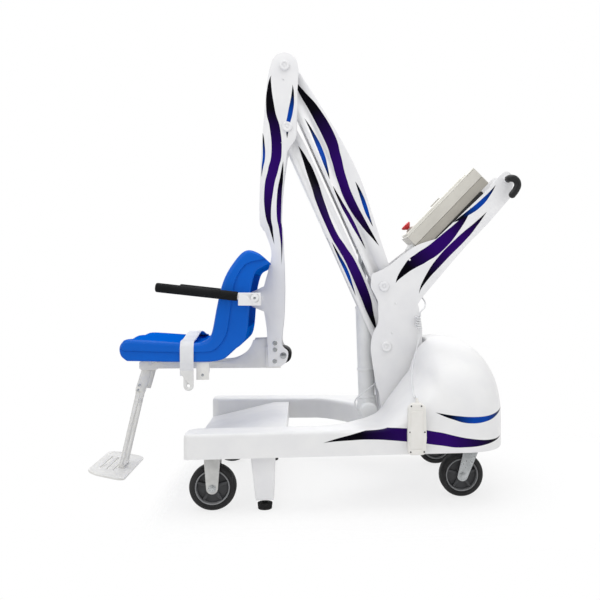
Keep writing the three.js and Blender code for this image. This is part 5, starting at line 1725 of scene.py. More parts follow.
def screw_heads(places: Sequence[Flat], y: float, radius: float) -> list[Piece]:
    """Screw heads on both sides of the lift."""
    return [
        screw_head(spot(x, side * y, z), Vector((0, side, 0)), radius)
        for x, z in places for side, _ in SIDES
    ]


@dataclass
class Boom:
    """The boom: two shaped side plates, a web along their upper edge, and collars."""

    inner: float = 45.0
    outer: float = 50.0
    above: float = 89.0
    below: float = 30.0
    heel: float = 50.0
    nose: float = 40.0
    crest: tuple[Flat, ...] = (
        (0.02, 0.6), (0.09, 0.62), (0.18, 0.71), (0.31, 0.86), (0.455, 1), (0.617, 0.94), (0.8, 0.73),
        (0.93, 0.53),
    )
    web: Flat = (0.12, 0.9)
    painted: Painted = (
        ((
            (838, 10, 0), (770, 22, 11), (690, 38, 19), (600, 46, 22), (510, 38, 20), (420, 24, 18),
            (330, 20, 17), (245, 30, 12), (180, 42, 5), (140, 50, 0),
        ), Ink.PURPLE),
        ((
            (690, -10, 0), (620, -4, 6), (550, -4, 9), (490, -10, 6), (440, -18, 0),
        ), Ink.BLUE),
        ((
            (420, -16, 0), (350, -14, 6), (280, -8, 8), (210, -4, 5), (150, -2, 0),
        ), Ink.PURPLE),
        ((
            (400, 66, 0), (350, 66, 6), (300, 62, 8), (255, 58, 5), (215, 58, 0),
        ), Ink.BLUE),
    )

    def build(self) -> None:
        """Cuts one side plate, mirrors it, and adds the web and the collars."""
        axis, length = RIG.boom, RIG.length
        crest = spline([(u * length, v * self.above) for u, v in self.crest], 14)
        outline = axis.run(
            *arc(0, 0, self.heel, 215, 100, 14), *crest, *arc(length, 0, self.nose, 70, -50, 14),
            (length * 0.9, -self.below), (self.heel, -self.below),
        )
        plate = Bench.plate(outline, -self.outer, -self.inner, 1.2, 3)
        Bench.cut(plate, *RIG.bores(RIG.boom_foot, RIG.boom_head))
        low, high = (share * length for share in self.web)
        run = [(s, n) for s, n in crest if low < s < high]
        section = axis.run(*((s, n - 0.4) for s, n in run), *((s, n - 5) for s, n in reversed(run)))
        web = Bench.plate(section, -self.inner - 0.5, self.inner + 0.5, 0.8)
        collars = RIG.collars(self.outer - 0.5, RIG.boom_foot, RIG.boom_head)
        body = Bench.join(plate, Bench.twin(plate), web, *collars)
        Bench.mount(body, "boom_channel", striped("painted_boom", self.painted, axis, 49.6), "boom")


def striped(name: str, painted: Painted, axis: Axis, face: float) -> Finish:
    """White paint with stripes that are laid out along an axis.

    Args:
        name: The finish's name.
        painted: Places along and across the axis with half widths, and an ink, for each stripe.
        axis: The axis.
        face: Y past which the stripes show.

    Returns:
        The finish.
    """
    stripes = tuple(
        Stripe(tuple((*axis.at(s, n), half) for s, n, half in points), ink) for points, ink in painted
    )
    return replace(Finishes.white, name=name, stripes=stripes, face=face)


@dataclass
class Link:
    """The lower link: two straight side plates with round eyes, a web and collars."""

    inner: float = 36.0
    outer: float = 41.0
    above: float = 40.0
    below: float = 32.0
    eye: float = 32.0
    web: Flat = (0.52, 0.9)
    painted: Painted = (
        ((
            (812, 8, 0), (750, 14, 9), (670, 10, 15), (580, 0, 15), (490, -4, 13), (400, 4, 15),
            (310, 12, 18), (220, 10, 18), (130, 0, 11), (60, -6, 0),
        ), Ink.PURPLE),
        ((
            (440, -22, 0), (380, -20, 5), (320, -17, 7), (260, -20, 4), (210, -24, 0),
        ), Ink.BLUE),
    )

    def build(self) -> None:
        """Cuts one side plate, mirrors it, and adds the web and the collars."""
        axis, e, length = RIG.link, self.eye, RIG.length
        foot = [(e * 1.2, e * 1.06), (e * 2, self.above), (e * 4, self.above)]
        head = [
            (length - e * 3, self.above * 0.92), (length - e * 2, self.above * 0.9), (length - e, e * 1.02),
        ]
        outline = axis.run(
            *arc(0, 0, e, 250, 110, 18), *spline(foot, 10), *spline(head, 10),
            *arc(length, 0, e, 70, -70, 18), (length - e * 2, -self.below * 0.9), (e * 2, -self.below),
        )
        plate = Bench.plate(outline, -self.outer, -self.inner, 1.2, 3)
        Bench.cut(plate, *RIG.bores(RIG.link_foot, RIG.link_head))
        low, high = (share * length for share in self.web)
        inside, outside = 5 - self.below, 0.6 - self.below
        section = axis.run((low, inside), (high, inside), (high, outside), (low, outside))
        web = Bench.plate(section, -self.inner - 0.5, self.inner + 0.5, 0.8)
        collars = RIG.collars(self.outer - 0.5, RIG.link_foot, RIG.link_head)
        body = Bench.join(plate, Bench.twin(plate), web, *collars)
        Bench.mount(body, "link_channel", striped("painted_link", self.painted, axis, 40.6), "lower_link")


@dataclass
class HangingArm:
    """The arm from the boom's head down to the chair, with its pins, bolts and roller."""

    height: float = 1096.0
    round: float = 48.0
    bar: Flat = (-153.0, 691.0)
    bar_radius: float = 15.0
    front: tuple[Flat, ...] = (
        (-0.042, 0.013), (-0.055, -0.038), (-0.064, -0.125), (-0.071, -0.21), (-0.079, -0.331),
        (-0.083, -0.512), (-0.068, -0.545), (-0.048, -0.598), (-0.044, -0.631), (-0.05, -0.663),
        (-0.068, -0.729),
    )
    gusset: tuple[Flat, ...] = ((1.5, 2.7), (-1.5, 1.28), (-1.5, -2.18), (1.5, -3.45))
    low_front: tuple[Flat, ...] = ((-0.069, -0.812), (-0.06, -0.872), (-0.058, -0.913), (-0.054, -1))
    back: tuple[Flat, ...] = (
        (-0.014, -1), (0.005, -0.984), (0.011, -0.951), (-0.01, -0.921), (-0.003, -0.828), (-0.001, -0.711),
        (-0.008, -0.545), (-0.012, -0.511), (-0.007, -0.408), (0.007, -0.297), (0.012, -0.279),
        (0.037, -0.24), (0.04, -0.203), (0.042, -0.135), (0.043, -0.082), (0.047, -0.01),
    )
    roller: Flat = (-61.0, 478.0)
    roller_radius: float = 30.0
    roller_half: float = 58.0
    dots: tuple[Flat, ...] = ((-60.0, 1483.0), (-65.0, 1254.0), (-88.0, 590.0))
    bolts: tuple[Flat, ...] = ((-91.0, 524.0), (-91.0, 500.0), (-92.0, 458.0))
    stripes: tuple[Stripe, ...] = (
        Stripe((
            (-98, 1500, 0), (-110, 1445, 9), (-106, 1375, 16), (-90, 1305, 19), (-84, 1235, 19),
            (-96, 1160, 19), (-112, 1085, 17), (-116, 1010, 12), (-104, 940, 6), (-92, 880, 0),
        ), Ink.PURPLE),
        Stripe((
            (-28, 1468, 0), (-26, 1420, 6), (-34, 1365, 9), (-44, 1312, 6), (-46, 1268, 0),
        ), Ink.BLUE),
        Stripe((
            (-60, 1190, 0), (-66, 1130, 6), (-74, 1065, 9), (-76, 1000, 9), (-70, 935, 6), (-66, 870, 3),
            (-68, 800, 0),
        ), Ink.PURPLE),
        Stripe((
            (-134, 1290, 0), (-131, 1250, 4), (-130, 1205, 5), (-136, 1160, 3), (-139, 1125, 0),
        ), Ink.BLUE),
    )

    def placed(self, shares: Sequence[Flat]) -> list[Flat]:
        """Places of outline points that are given as shares of the arm's height."""
        x, z = RIG.boom_head
        return [(x + u * self.height, z + v * self.height) for u, v in shares]

    def build(self) -> None:
        """Cuts one plate, copies it to the other side and adds the pins and the roller."""
        x, z = self.bar
        ears = [(x + u * self.bar_radius, z + v * self.bar_radius) for u, v in self.gusset]
        lines = (self.front, self.low_front, self.back)
        front, foot, back = (spline(self.placed(line), 9) for line in lines)
        outline = [*arc(*RIG.boom_head, self.round, 0, 160, 26), *front, *ears, *foot, *back]
        plate = Bench.plate(outline, -RIG.arm_outer, -RIG.arm_inner, 1.2, 3)
        holes = RIG.bores(RIG.boom_head, RIG.link_head)
        dots = [RIG.bore(dot, 2.6, 20) for dot in self.dots]
        bar = RIG.bore(self.bar, self.bar_radius + RIG.play)
        Bench.cut(plate, *holes, bar, RIG.bore(self.roller, 6.3), *dots)
        Bench.smooth(plate)
        finish = replace(Finishes.white, name="painted_arm", stripes=self.stripes, face=80.6)
        Bench.mount_pair(plate, "arm_side", finish, "arm_plate")
        RIG.capped_pin(RIG.boom_head, RIG.arm_outer, "arm_top_pivot", "arm_top_pin")
        RIG.capped_pin(RIG.link_head, RIG.arm_outer, "arm_link_pivot", "arm_link_pin")
        self.fasteners()
        self.wall_roller()

    def fasteners(self) -> None:
        """The bolts that hold the chair's carrier to the arm."""
        ring = [(0, 0), (8.5, 0), (8.5, 1.0), (8, 1.4), (0, 1.4)]
        cap = [(0, 1), (5.4, 1), (5.4, 4.6), (4.8, 5.4), (2.6, 5.4), (2.4, 3.0), (0, 3.0)]
        heads = [
            Bench.turned(profile, spot(x, side * RIG.arm_outer, z), Vector((0, side, 0)), 32)
            for x, z in self.bolts for side, _ in SIDES for profile in (ring, cap)
        ]
        Bench.mount(Bench.join(*heads), "carrier_bolts", Finishes.steel, beside="arm_plate_left")

    def wall_roller(self) -> None:
        """The rubber roller behind the arm's foot, with its axle and nuts."""
        x, z = self.roller
        r, h = self.roller_radius, self.roller_half
        profile = mirrored([(6.3, -h), (r - 6, -h), (r - 2, 1.6 - h), (r, 6 - h)])
        roller = Bench.turned(profile, spot(x, 0, z), ACROSS, 56)
        Bench.mount(roller, "rubber_roller", Finishes.rubber, "wall_roller")
        axle = Bench.across(x, z, -RIG.arm_outer - 8, RIG.arm_outer + 8, 6.0)
        ends = nuts(x, z, 0, RIG.arm_outer, (10.2, 1.7, 6.6, 0.9), (12.0, 0.3, 1.9))
        Bench.mount(Bench.join(axle, *ends), "roller_bolt", Finishes.steel, "roller_axle")


@dataclass
class ControlBox:
    """The control box on the mast's head, its lid, latch, glands, stop button and battery."""

    axis: Axis = Axis((0.0, 0.0), 46.0)
    start: float = 932.0
    end: float = 1293.0
    floor: float = 270.0
    seam: float = 306.0
    top: float = 347.0
    half: float = 72.0
    lid: float = 360.0
    panel_end: float = 1232.0
    stop_along: float = 965.0
    stop_y: float = -34.0
    gland_y: float = 34.0
    battery: tuple[float, ...] = (1075.0, 1255.0, 274.3, 304.0, 50.0)
    shelf: tuple[float, ...] = (1004.0, 1250.0, 257.7, 269.7, 75.7)

    def at(self, s: float, n: float) -> Flat:
        """A place along the box and up through it (its own up is away from the mast)."""
        return self.axis.at(s, -n)

    @property
    def along(self) -> Vector:
        """The box's own direction, up the mast."""
        angle = math.radians(self.axis.angle)
        return Vector((math.cos(angle), 0, math.sin(angle)))

    def slab(
        self, s0: float, s1: float, n0: float, n1: float, y: float, bevel: float, segments: int = 3
    ) -> Piece:
        """A block that lies along the box."""
        corners = [self.at(s0, n0), self.at(s1, n0), self.at(s1, n1), self.at(s0, n1)]
        return Bench.plate(corners, -y, y, bevel, segments)

    def build(self) -> None:
        """Builds the box's lower and upper halves, then what is on them."""
        # The lower half's darker grey is painted shade; the upper half keeps the lighter grey.
        lower = self.slab(self.start, self.end, self.floor, self.seam, self.half - 1.2, 3.0, 4)
        Bench.mount(lower, "box_lower_half", Finishes.box_grey_and_painted_shade, "control_box")
        upper = self.slab(self.start, self.end, self.seam + 0.2, self.top - 0.2, self.half, 2.4, 4)
        self.end_groove(upper)
        Bench.mount(upper, "box_upper_half", Finishes.box_upper, beside="control_box")
        self.cover()
        self.glands()
        self.stop()
        Bench.mount(self.slab(*self.battery, 3.0), "battery_pack", Finishes.dark, "battery")
        # The shelf's near-black finish is painted shadow for the gap under the box.
        Bench.mount(self.slab(*self.shelf, 1.5), "box_shelf", Finishes.tray, "box_tray")

    def end_groove(self, upper: Piece) -> None:
        """Cuts the groove across the box's upper end."""
        tool = self.slab(self.end - 1.2, self.end + 5, self.seam + 16, self.seam + 19, self.half - 12, 0.0)
        Bench.cut(upper, tool)
        Bench.smooth(upper)

    def cover(self) -> None:
        """The lid with its rim, raised panel, hinge and latch."""
        rim = self.slab(self.start, self.end, self.top, self.top + 5, self.half, 1.6)
        panel = self.slab(self.start + 7, self.panel_end, self.top + 3, self.lid, self.half - 7, 3.4, 4)
        latch = self.slab(1092, 1134, self.lid - 1, self.lid + 3.4, 17, 1.5)
        hinge = self.slab(1238, 1262, self.top + 4, self.top + 8, 40, 1.6)
        Bench.mount(Bench.join(rim, panel, hinge), "box_cover", Finishes.box_lid, "control_lid")
        Bench.mount(latch, "cover_latch", Finishes.box_grey_and_painted_shade, beside="control_lid")

    def glands(self) -> None:
        """The three cable glands under the box's lower end."""
        x, z = self.at(self.start, (self.floor + self.top) / 2)
        hexagon = [(0, -1), (12, -1), (12, 6.6), (11, 8), (0, 8)]
        sleeve = [(0, 6), (9.4, 6), (9.4, 18), (8.6, 21), (7.0, 25), (5.2, 26), (0, 26)]
        pieces = []
        for y in (-self.gland_y, 0, self.gland_y):
            pieces.append(Bench.turned(hexagon, spot(x, y, z), -self.along, 6, 20))
            pieces.append(Bench.turned(sleeve, spot(x, y, z), -self.along, 32))
        Bench.mount(Bench.join(*pieces), "cable_glands", Finishes.motor, beside="control_box")

    def stop(self) -> None:
        """The red mushroom button in its pale collar."""
        up = Vector((-self.along.z, 0, self.along.x))
        x, z = self.at(self.stop_along, self.lid)
        base = spot(x, self.stop_y, z)
        ring = [(9.3, -1), (15, -1), (15, 2.8), (14, 4), (10, 4), (9.3, 3.2)]
        collar = Bench.turned(ring, base, up, 48)
        Bench.mount(collar, "stop_ring", Finishes.box_grey_and_painted_shade, beside="control_lid")
        mushroom = [
            (0, 1.2), (9, 1.2), (9, 5.2), (11.4, 6), (18.6, 13), (20, 14.8), (20.4, 16.6), (20, 18.6),
            (18.2, 20.6), (13, 21.8), (7, 22), (0, 21.6),
        ]
        button = Bench.turned(mushroom, base + up * 4.3 * MM, up, 56, 30)
        Bench.mount(button, "stop_mushroom", Finishes.red, "stop_button")


@dataclass
class Handle:
    """The push bar across the mast's head and its two hooked grips."""

    place: Flat = (768.0, 1128.0)
    bar: float = 11.0
    grip: float = 13.5
    reach: float = 126.0
    path: tuple[Flat, ...] = (
        (773.6, 1128.0), (787.6, 1124.5), (797.4, 1107.0), (791.0, 1086.2), (777.6, 1068.0),
    )

    def build(self) -> None:
        """Builds the bar, one grip and its mirror image."""
        x, z = self.place
        Bench.mount(Bench.across(x, z, -101.7, 101.7, self.bar), "push_bar", Finishes.white, "handle_bar")
        route = [spot(x, -102, z), spot(x, -110, z), *(spot(a, -self.reach, b) for a, b in self.path)]
        Bench.clear()
        radius = self.grip * MM
        bpy.ops.mesh.primitive_uv_sphere_add(radius=radius, location=route[-1], segments=32, ring_count=16)
        end = bpy.context.object
        Bench.pick(Bench.line(route, self.grip, 6, 10))
        bpy.ops.object.convert(target="MESH")
        grip = Bench.join(Bench.settle(bpy.context.object, 0.0, 1, 50), end)
        Bench.apply(grip, "REMESH", mode="VOXEL", voxel_size=1.6 * MM)
        Bench.apply(grip, "SMOOTH", factor=0.5, iterations=6)
        Bench.pick(grip)
        bpy.ops.object.shade_smooth()
        Bench.mount_pair(grip, "hook_grip", Finishes.grip, "push_grip")


@dataclass
class Drive:
    """The electric drive: motor, housing, tube and sliding rod."""

    foot: Flat = (255.0, 222.0)
    head: Flat = (233.1, 868.0)
    rod: float = 14.0
    eye: float = 22.0
    eye_half: float = 15.0
    stroke_end: float = 281.0
    motor: tuple[Flat, float] = ((256.0, 266.0), 34.0)

    @property
    def axis(self) -> Vector:
        """The drive's direction."""
        return (spot(self.head[0], 0, self.head[1]) - spot(self.foot[0], 0, self.foot[1])).normalized()

    def build(self) -> None:
        """Builds the drive's body and its rod."""
        foot, axis = spot(self.foot[0], 0, self.foot[1]), self.axis
        length = math.dist(self.foot, self.head)
        housing = [
            (0, 26), (33, 26), (36, 29), (36, 84), (34.6, 87), (35.4, 88.4), (35.4, 95), (34.4, 96.6),
            (31.4, 97), (31, 100), (31, 192), (33.5, 193.4), (33.5, 203), (31, 204.4), (31, 424),
            (32.6, 425), (32.6, 434), (31, 436), (14.3, 436), (14.3, 100), (0, 100),
        ]
        body = Bench.turned(housing, foot, axis, 56)
        neck = Bench.rod(foot, foot + axis * 28 * MM, 15.0)
        eye = Bench.across(*self.foot, -self.eye_half, self.eye_half, self.eye)
        body = Bench.cut(Bench.join(body, neck, eye), Bench.across(*self.foot, -30, 30, 12.3, edge=0.1))
        Bench.smooth(body)
        Bench.mount(body, "drive_tube", Finishes.motor, "drive_body")
        (x, z), r = self.motor
        can = [
            (0, 0), (r - 9, 0), (r - 5, 0.8), (r - 2, 3), (r, 7), (r, 12), (r - 0.8, 12.8), (r - 0.8, 14.2),
            (r, 15), (r, 40), (0, 40),
        ]
        motor = Bench.turned(can, spot(x, -71, z), ACROSS, 64)
        Bench.mount(motor, "drive_motor", Finishes.motor, beside="drive_body")
        shaft = Bench.rod(foot + axis * self.stroke_end * MM, foot + axis * (length - 11) * MM, self.rod)
        top = Bench.across(*self.head, -self.eye_half, self.eye_half, self.eye)
        pin = Bench.across(*self.head, -35.5, 35.5, 11.5)
        Bench.mount(Bench.join(shaft, top, pin), "drive_ram", Finishes.steel, "drive_rod")


@dataclass
class Seat:
    """The blue moulded seat: a bulging front roll and a lower, set-back band behind a crease."""

    front: float = -616.0
    rear: float = -104.0
    bottom: float = 470.0
    height: float = 386.0
    half: float = 230.0
    band: float = 223.5
    roll_edge: float = 15.0
    band_edge: float = 6.0
    profile: tuple[Flat, ...] = (
        (0.05, 0.012), (0.012, 0.055), (0, 0.125), (0.02, 0.18), (0.062, 0.205), (0.27, 0.188),
        (0.42, 0.173), (0.53, 0.173), (0.585, 0.205), (0.613, 0.27), (0.645, 0.495), (0.674, 0.667),
        (0.711, 0.79), (0.766, 0.904), (0.82, 0.982), (0.867, 1), (0.926, 0.972), (0.973, 0.922),
        (1, 0.886), (0.95, 0.85), (0.906, 0.812), (0.883, 0.73), (0.867, 0.618), (0.859, 0.469),
        (0.846, 0.27), (0.82, 0.17), (0.748, 0.095), (0.68, 0.02), (0.52, 0),
    )
    crease: tuple[Flat, ...] = (
        (0.9, 0.905), (0.84, 0.87), (0.795, 0.79), (0.765, 0.69), (0.742, 0.5), (0.722, 0.3), (0.69, 0.19),
        (0.63, 0.105), (0.55, 0.085), (0.3, 0.088), (0.1, 0.098), (0.03, 0.1),
    )
    roll_top: int = 18
    lip_low: int = 18
    pocket: tuple[float, float, float] = (0.735, 0.3, 0.79)
    pocket_half: float = 186.0
    dish_depth: float = 9.0
    thigh: Flat = (104.0, 50.0)
    thigh_run: tuple[float, ...] = (-660.0, -540.0, -420.0, -320.0)
    thigh_limits: Flat = (522.0, -300.0)
    middle: Flat = (40.0, 0.35)
    back_depth: float = 11.0
    back_width: float = 120.0
    back_run: Flat = (560.0, 850.0)

    def placed(self, shares: Sequence[Flat]) -> list[Flat]:
        """Places of outline points that are given as shares of the seat."""
        return [(self.front + u * (self.rear - self.front), self.bottom + v * self.height) for u, v in shares]

    def build(self) -> None:
        """Joins the band and the roll and cuts the pocket behind the backrest."""
        rear = [*self.profile[self.lip_low :], self.profile[0]]
        band = self.moulding(self.profile[: self.lip_low + 1], rear, self.band, self.band_edge, 1.0)
        Bench.cut(band, self.pocket_tool(), self.lip_tool())
        roll = self.moulding(self.profile[2 : self.roll_top], self.crease, self.half, self.roll_edge, 0.25)
        body = Bench.join(band, roll)
        Bench.smooth(body, 50)
        Bench.mount(body, "seat_moulding", Finishes.seat, "seat_shell")

    def moulding(
        self, front: Sequence[Flat], rear: Sequence[Flat], half: float, edge: float, rear_share: float
    ) -> Piece:
        """A solid across the seat, rounded at its sides and pressed for the thighs and the back.

        Args:
            front: The line of its top and front, in shares of the seat.
            rear: The line back below and behind it.
            half: Half its width.
            edge: Size of its rounded edges.
            rear_share: Share of the rounding along the rear line.

        Returns:
            The piece.
        """
        n = 96
        lines = [resampled(spline(self.placed(line), 9), n) for line in (front, rear)]
        places = [*lines[0], *lines[1]]
        count = len(places)
        ends = [min(1.0, k / 7) for k in range(n)]
        soft = [*reversed(ends), *(rear_share * end for end in ends)]
        if rear_share == 1.0:
            soft = [1.0] * count
        outline = [Vector((*place, 0)) for place in places]
        inward = []
        for k in range(count):
            along = (outline[(k + 2) % count] - outline[k - 2]).normalized()
            inward.append(Vector((along.y, -along.x, 0)) * soft[k])
        area = sum(a.cross(b).z for a, b in zip(outline, [*outline[1:], outline[0]]))
        turn = -1 if area > 0 else 1
        rounding = [(half - edge + edge * math.sin(a), edge * (1 - math.cos(a))) for a in turns(0, 90, 7)]
        flat = [(y * (half - edge) / 13, 0.0) for y in range(-12, 13)]
        rings = [*((-y, inset) for y, inset in reversed(rounding)), *flat, *rounding]
        points = [
            self.pressed(*(outline[k] + inward[k] * (turn * inset)).xy, y)
            for y, inset in rings for k in range(count)
        ]
        faces = [
            (start + k, start + (k + 1) % count, start + count + (k + 1) % count, start + count + k)
            for start in range(0, (len(rings) - 1) * count, count) for k in range(count)
        ]
        for start in (0, (len(rings) - 1) * count):
            faces.extend(
                tuple(start + c for c in (k, k + 1, count - 2 - k, count - 1 - k)) for k in range(n - 1)
            )
        mesh = bpy.data.meshes.new("moulding")
        mesh.from_pydata(points, [], faces)
        piece = bpy.data.objects.new("moulding", mesh)
        bpy.context.collection.objects.link(piece)
        return Bench.settle(piece)

    def pocket_tool(self) -> Piece:
        """The hollow behind the backrest, as a tool."""
        deep, low, high = self.pocket
        shares = [(deep, low), (1.2, low), (1.2, high), (deep + 0.06, high), (deep + 0.03, (low + high) / 2)]
        return Bench.plate(self.placed(shares), -self.pocket_half, self.pocket_half, 14.0, 3)

    def lip_tool(self) -> Piece:
        """The notch in the top rear lip that clears the arm, as a tool."""
        top = self.bottom + self.height
        return Bench.block((self.rear - 12, -83, top - 90), (self.rear + 30, 83, top + 20), 4.0)

    def pressed(self, x: float, z: float, y: float) -> Vector:
        """A place on the moulding after two thigh hollows and a back hollow are pressed into it.

        Args:
            x: The place's X in the side view.
            z: Its height.
            y: Its Y.

        Returns:
            The place in the row frame.
        """
        start, full, ebb, end = self.thigh_run
        level, limit = self.thigh_limits
        if z > level and start < x < limit:
            (place, width), (breadth, share) = self.thigh, self.middle
            thigh = math.exp(-(((abs(y) - place) / width) ** 2))
            middle = math.exp(-((y / breadth) ** 2)) * share
            z -= self.dish_depth * (thigh - middle) * ramp(x, start, full) * ramp(-x, -end, -ebb)
        elif z > self.back_run[0] and x < self.back_face(z) + 30:
            hollow = math.exp(-((y / self.back_width) ** 2)) * math.sin(math.pi * ramp(z, *self.back_run))
            x += self.back_depth * hollow
        return spot(x, y, z)

    def back_face(self, z: float) -> float:
        """X of the backrest's front face at a height."""
        rows = self.placed(self.profile[7:16])
        for (x0, z0), (x1, z1) in zip(rows, rows[1:]):
            if z0 <= z <= z1:
                return x0 + (x1 - x0) * (z - z0) / max(z1 - z0, 1e-6)
        return rows[-1][0]


@dataclass
class LapBelt:
    """The white webbing belt across the seat, with its end tongues and doubled seams."""

    x: float = -387.0
    width: float = 46.0
    thick: float = 3.0
    half: float = 230.5
    top: float = 540.7
    bottom: float = 424.0
    bend: float = 26.0
    rise: float = 22.0
    tongue: float = 17.3
    drop: float = 52.0

    def build(self) -> None:
        """Bends the belt round the seat and adds its tongues."""
        loop = [*self.path(self.thick), *reversed(self.path(0))]
        start = self.x - self.width / 2
        ribbon = Bench.prism([spot(start, y, b) for y, b in loop], Vector((self.width * MM, 0, 0)), 0.8)
        Bench.mount(ribbon, "belt_webbing", Finishes.web, "lap_belt")
        tongues = [self.end_tongue(side) for side, _ in SIDES]
        seams = [self.seam(side) for side, _ in SIDES]
        Bench.mount(Bench.join(*tongues), "belt_tongues", Finishes.web_end, beside="lap_belt")
        Bench.mount(Bench.join(*seams), "belt_seams", Finishes.web, beside="lap_belt")

    def path(self, grow: float) -> list[Flat]:
        """The belt's line across the seat in Y and Z, moved outwards.

        Args:
            grow: How far it is moved.

        Returns:
            The line.
        """
        h, r, z = self.half, self.bend, self.top
        left = arc(r - h, z - r, r + grow, 180, 90, 12)
        over = [
            (y, z + grow + self.rise * math.cos(math.pi * y / 2 / (h - r)) ** 2) for y in range(-180, 181, 30)
        ]
        right = [(-y, b) for y, b in reversed(left)]
        return [(-h - grow, self.bottom), *left, *over, *right, (h + grow, self.bottom)]

    def end_tongue(self, side: int) -> Piece:
        """The rounded end that is bolted on, with its eyelet.

        Args:
            side: Minus one or one.

        Returns:
            The piece.
        """
        w = self.tongue
        wide, low = self.x - self.width / 2, self.bottom
        x, z = self.x + self.width / 2 - w + 0.5, low - self.drop + w
        outline = [
            (wide + 2, low + 18), (wide + 2, low + 6), (wide + 8, low), (x - w, low - 6),
            *arc(x, z, w, 180, 360, 18), (x + w, low + 18),
        ]
        plate = Bench.plate(outline, side * (self.half - 0.2), side * (self.half + self.thick + 0.8), 0.8)
        Bench.cut(plate, Bench.across(x, z, -260, 260, 5.8, edge=0.1, steps=24))
        return plate

    def seam(self, side: int) -> Piece:
        """Two doubled rows of webbing at the belt's end.

        Args:
            side: Minus one or one.

        Returns:
            The piece.
        """
        y = side * (self.half + self.thick)
        low, high = sorted((y, y + side))
        rows = (self.bottom + 22, self.bottom + 40)
        return Bench.join(
            *(Bench.block((self.x - 24, low, z), (self.x + 24, high, z + 1.4), 0.3) for z in rows)
        )


@dataclass
class Armrests:
    """The cross bar behind the seat and its two folding armrests with foam grips."""

    bar: Flat = (-153.0, 691.0)
    y: float = 262.0
    half: float = 13.0
    cheek: tuple[Flat, Flat] = ((-209.0, 665.0), (-133.0, 709.0))
    tube: float = 11.0
    grip: float = 16.0
    end: float = -478.0
    rise: float = 6.4

    def build(self) -> None:
        """Builds the bar and both armrests."""
        x, z = self.bar
        inner = self.y - self.half - 0.3
        outer = self.y + self.half
        bar = Bench.across(x, z, -inner, inner, 15.0)
        ends = Bench.across(x, z, -outer - 3, outer + 3, 10.5)
        face = outer + 4.5
        caps = [Bench.across(x, z, side * (outer + 0.3), side * face, 13.5, edge=1.2) for side, _ in SIDES]
        screws = screw_heads([self.bar], face, 5.0)
        Bench.mount(Bench.join(bar, ends, *caps), "armrest_cross_bar", Finishes.white, "armrest_bar")
        Bench.mount(Bench.join(*screws), "armrest_screws", Finishes.steel, beside="armrest_bar")
        for side, word in SIDES:
            self.armrest(side, word)

    def armrest(self, side: int, word: str) -> None:
        """One armrest: a cheek, a tube and a foam grip.

        Args:
            side: Minus one or one.
            word: The side's name.
        """
        (low_x, low_z), (high_x, high_z) = self.cheek
        y = side * self.y
        cheek = Bench.block((low_x, y - self.half, low_z), (high_x, y + self.half, high_z), 2.4, 4)
        Bench.cut(cheek, Bench.across(*self.bar, y - 30, y + 30, 10.8, edge=0.1))
        slope = math.tan(math.radians(self.rise))
        middle = high_z - self.half

        def on_line(x: float) -> Vector:
            """A place on the armrest's line."""
            return spot(x, y, middle + (low_x - x) * slope)

        tube = Bench.rod(on_line(low_x + 4), on_line(self.end), self.tube)
        Bench.mount(Bench.join(cheek, tube), f"armrest_cheek_{word}", Finishes.white, f"armrest_{word}")
        g, t = self.grip, self.tube + 0.3
        start = on_line(low_x - 2.4)
        length = (on_line(self.end - 8) - start).length / MM
        rings = [(g, 4 + k * (length - 14) / 8) for k in range(9)]
        profile = [
            (t, 0), (g - 1.6, 0), (g - 0.4, 1.2), *rings, (g, length - 7), (g - 1.4, length - 2.6),
            (g - 5, length - 0.5), (0, length), (0, length - 7), (t, length - 7),
        ]
        foam = Bench.turned(profile, start, on_line(self.end) - on_line(low_x), 48)
        Bench.mount(foam, f"foam_grip_{word}", Finishes.foam, f"armrest_grip_{word}")


@dataclass
class ChairCarrier:
    """The welded carrier under the seat, and the folding footrest."""

    legs: Axis = Axis((-582.0, 372.0), 256.95)
    run: float = math.hypot(70, 302)
    spare: tuple[Flat, ...] = ((-539.2, 427.5), (-564, 340), (-500, 340), (-500, 427.5))
    bracket: tuple[Flat, ...] = ((-588.0, 353.0), (-582.0, 372.0))
    tab: Flat = (-335.5, 424.0)
    screw: float = 5.0

    def build(self) -> None:
        """Dresses the carrier, the footrest's legs and its plate."""
        carrier = Bench.soften("chair_frame", 1.3)
        Bench.cut(carrier, Bench.plate(self.spare, -60, 60, 0.0))
        Bench.mount(carrier, "seat_carrier", Finishes.warm_white, "chair_frame")
        legs = Bench.soften("foot_legs", 1.2)
        Bench.cut(legs, *self.trims())
        Bench.mount(legs, "footrest_legs", Finishes.warm_white, "foot_legs")
        Bench.mount(Bench.soften("foot_plate", 1.2), "footrest_plate", Finishes.warm_white, "foot_plate")
        low, high = ([place] for place in self.bracket)
        heads = [*screw_heads(low, 53.0, self.screw), *screw_heads(high, 59.4, self.screw)]
        Bench.mount(Bench.join(*heads), "bracket_screws", Finishes.steel, beside="chair_frame")
        tabs = screw_heads([self.tab], 214, self.screw)
        Bench.mount(Bench.join(*tabs), "tab_screws", Finishes.steel, beside="chair_frame")

    def trims(self) -> list[Piece]:
        """Tools that take a narrow strip off each edge of the footrest's legs, below the bracket."""
        top, toe = 34, self.run - 12
        strip = ((top, 7.7), (toe, 7.7), (toe, 12), (top, 12))
        return [
            Bench.plate(self.legs.run(*((s, edge * n) for s, n in strip)), -60, 60, 0.0) for edge in (-1, 1)
        ]


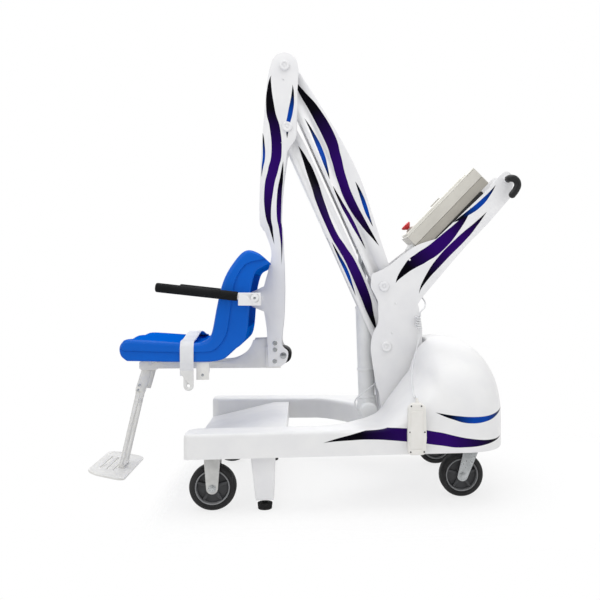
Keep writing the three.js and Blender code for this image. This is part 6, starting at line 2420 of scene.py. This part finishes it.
@dataclass
class HandControl:
    """The hand control in its holder on the cover's near side."""

    low: float = 346.0
    high: float = 408.0
    bottom: float = 181.0
    top: float = 353.0
    near: float = 456.0
    far: float = 426.5
    cord: Flat = (377.0, -441.25)
    screws: tuple[Flat, ...] = (
        (357.0, 344.0), (390.0, 344.0), (353.0, 260.0), (401.0, 260.0), (355.0, 196.0), (399.0, 196.0),
    )

    def build(self) -> Piece:
        """Builds the case, its raised panel, lip, screws and boot.

        Returns:
            The boot that the cord goes into.
        """
        a, b, lo, hi = self.low, self.high, self.bottom, self.top
        outline = [
            (a + 2, lo + 4), (b - 4, lo + 4), (b, lo + 60), (b - 3, hi - 12), (b - 16, hi), (a + 14, hi),
            (a + 1, hi - 12), (a, lo + 60),
        ]
        case = Bench.plate(fillet(outline, 14, 6), -self.near + 2.5, -self.far, 5.0, 5)
        raised = [(a + 7, lo + 26), (b - 14, lo + 26), (b - 12, hi - 26), (a + 9, hi - 26)]
        panel = Bench.plate(fillet(raised, 8, 5), -self.near, -self.near + 4, 1.2, 3)
        lip = Bench.block((a + 12, -self.near + 0.4, lo + 6), (b - 14, -self.near + 8, lo + 24), 4.0, 4)
        body = Bench.join(case, panel, lip)
        Bench.mount(body, "hand_control_case", Finishes.hand_white, "hand_control")
        heads = [screw_head(spot(x, -self.near + 2.7, z), Vector((0, -1, 0)), 2.6) for x, z in self.screws]
        Bench.mount(Bench.join(*heads), "hand_control_screws", Finishes.iron, beside="hand_control")
        profile = [
            (2.7, -1), (7.5, -1), (7.5, 2), (5.4, 4), (5, 9), (4.2, 9.6), (4.2, 14), (3.4, 16), (2.7, 16),
        ]
        boot = Bench.turned(profile, spot(*self.cord, hi), UP, 28)
        return Bench.mount(boot, "hand_control_boot", Finishes.hand_white, beside="hand_control")


def main() -> None:
    """Builds the studio, the cords and every sub-assembly in order."""
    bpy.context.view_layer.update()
    Studio().build()
    cord = HandCord()
    cord.build()
    MotorCable().build()
    for part in (
        BaseMoulding(), NoseDeck(), BaseFrame(), Castors(), Mast(), Boom(), Link(), HangingArm(),
        ControlBox(), Handle(), Drive(), Seat(), LapBelt(), Armrests(), ChairCarrier(),
    ):
        part.build()
        log.info("finished %s", type(part).__name__)
    cord.declare(HandControl().build())
    Bench.clear()


if __name__ == "__main__":
    main()
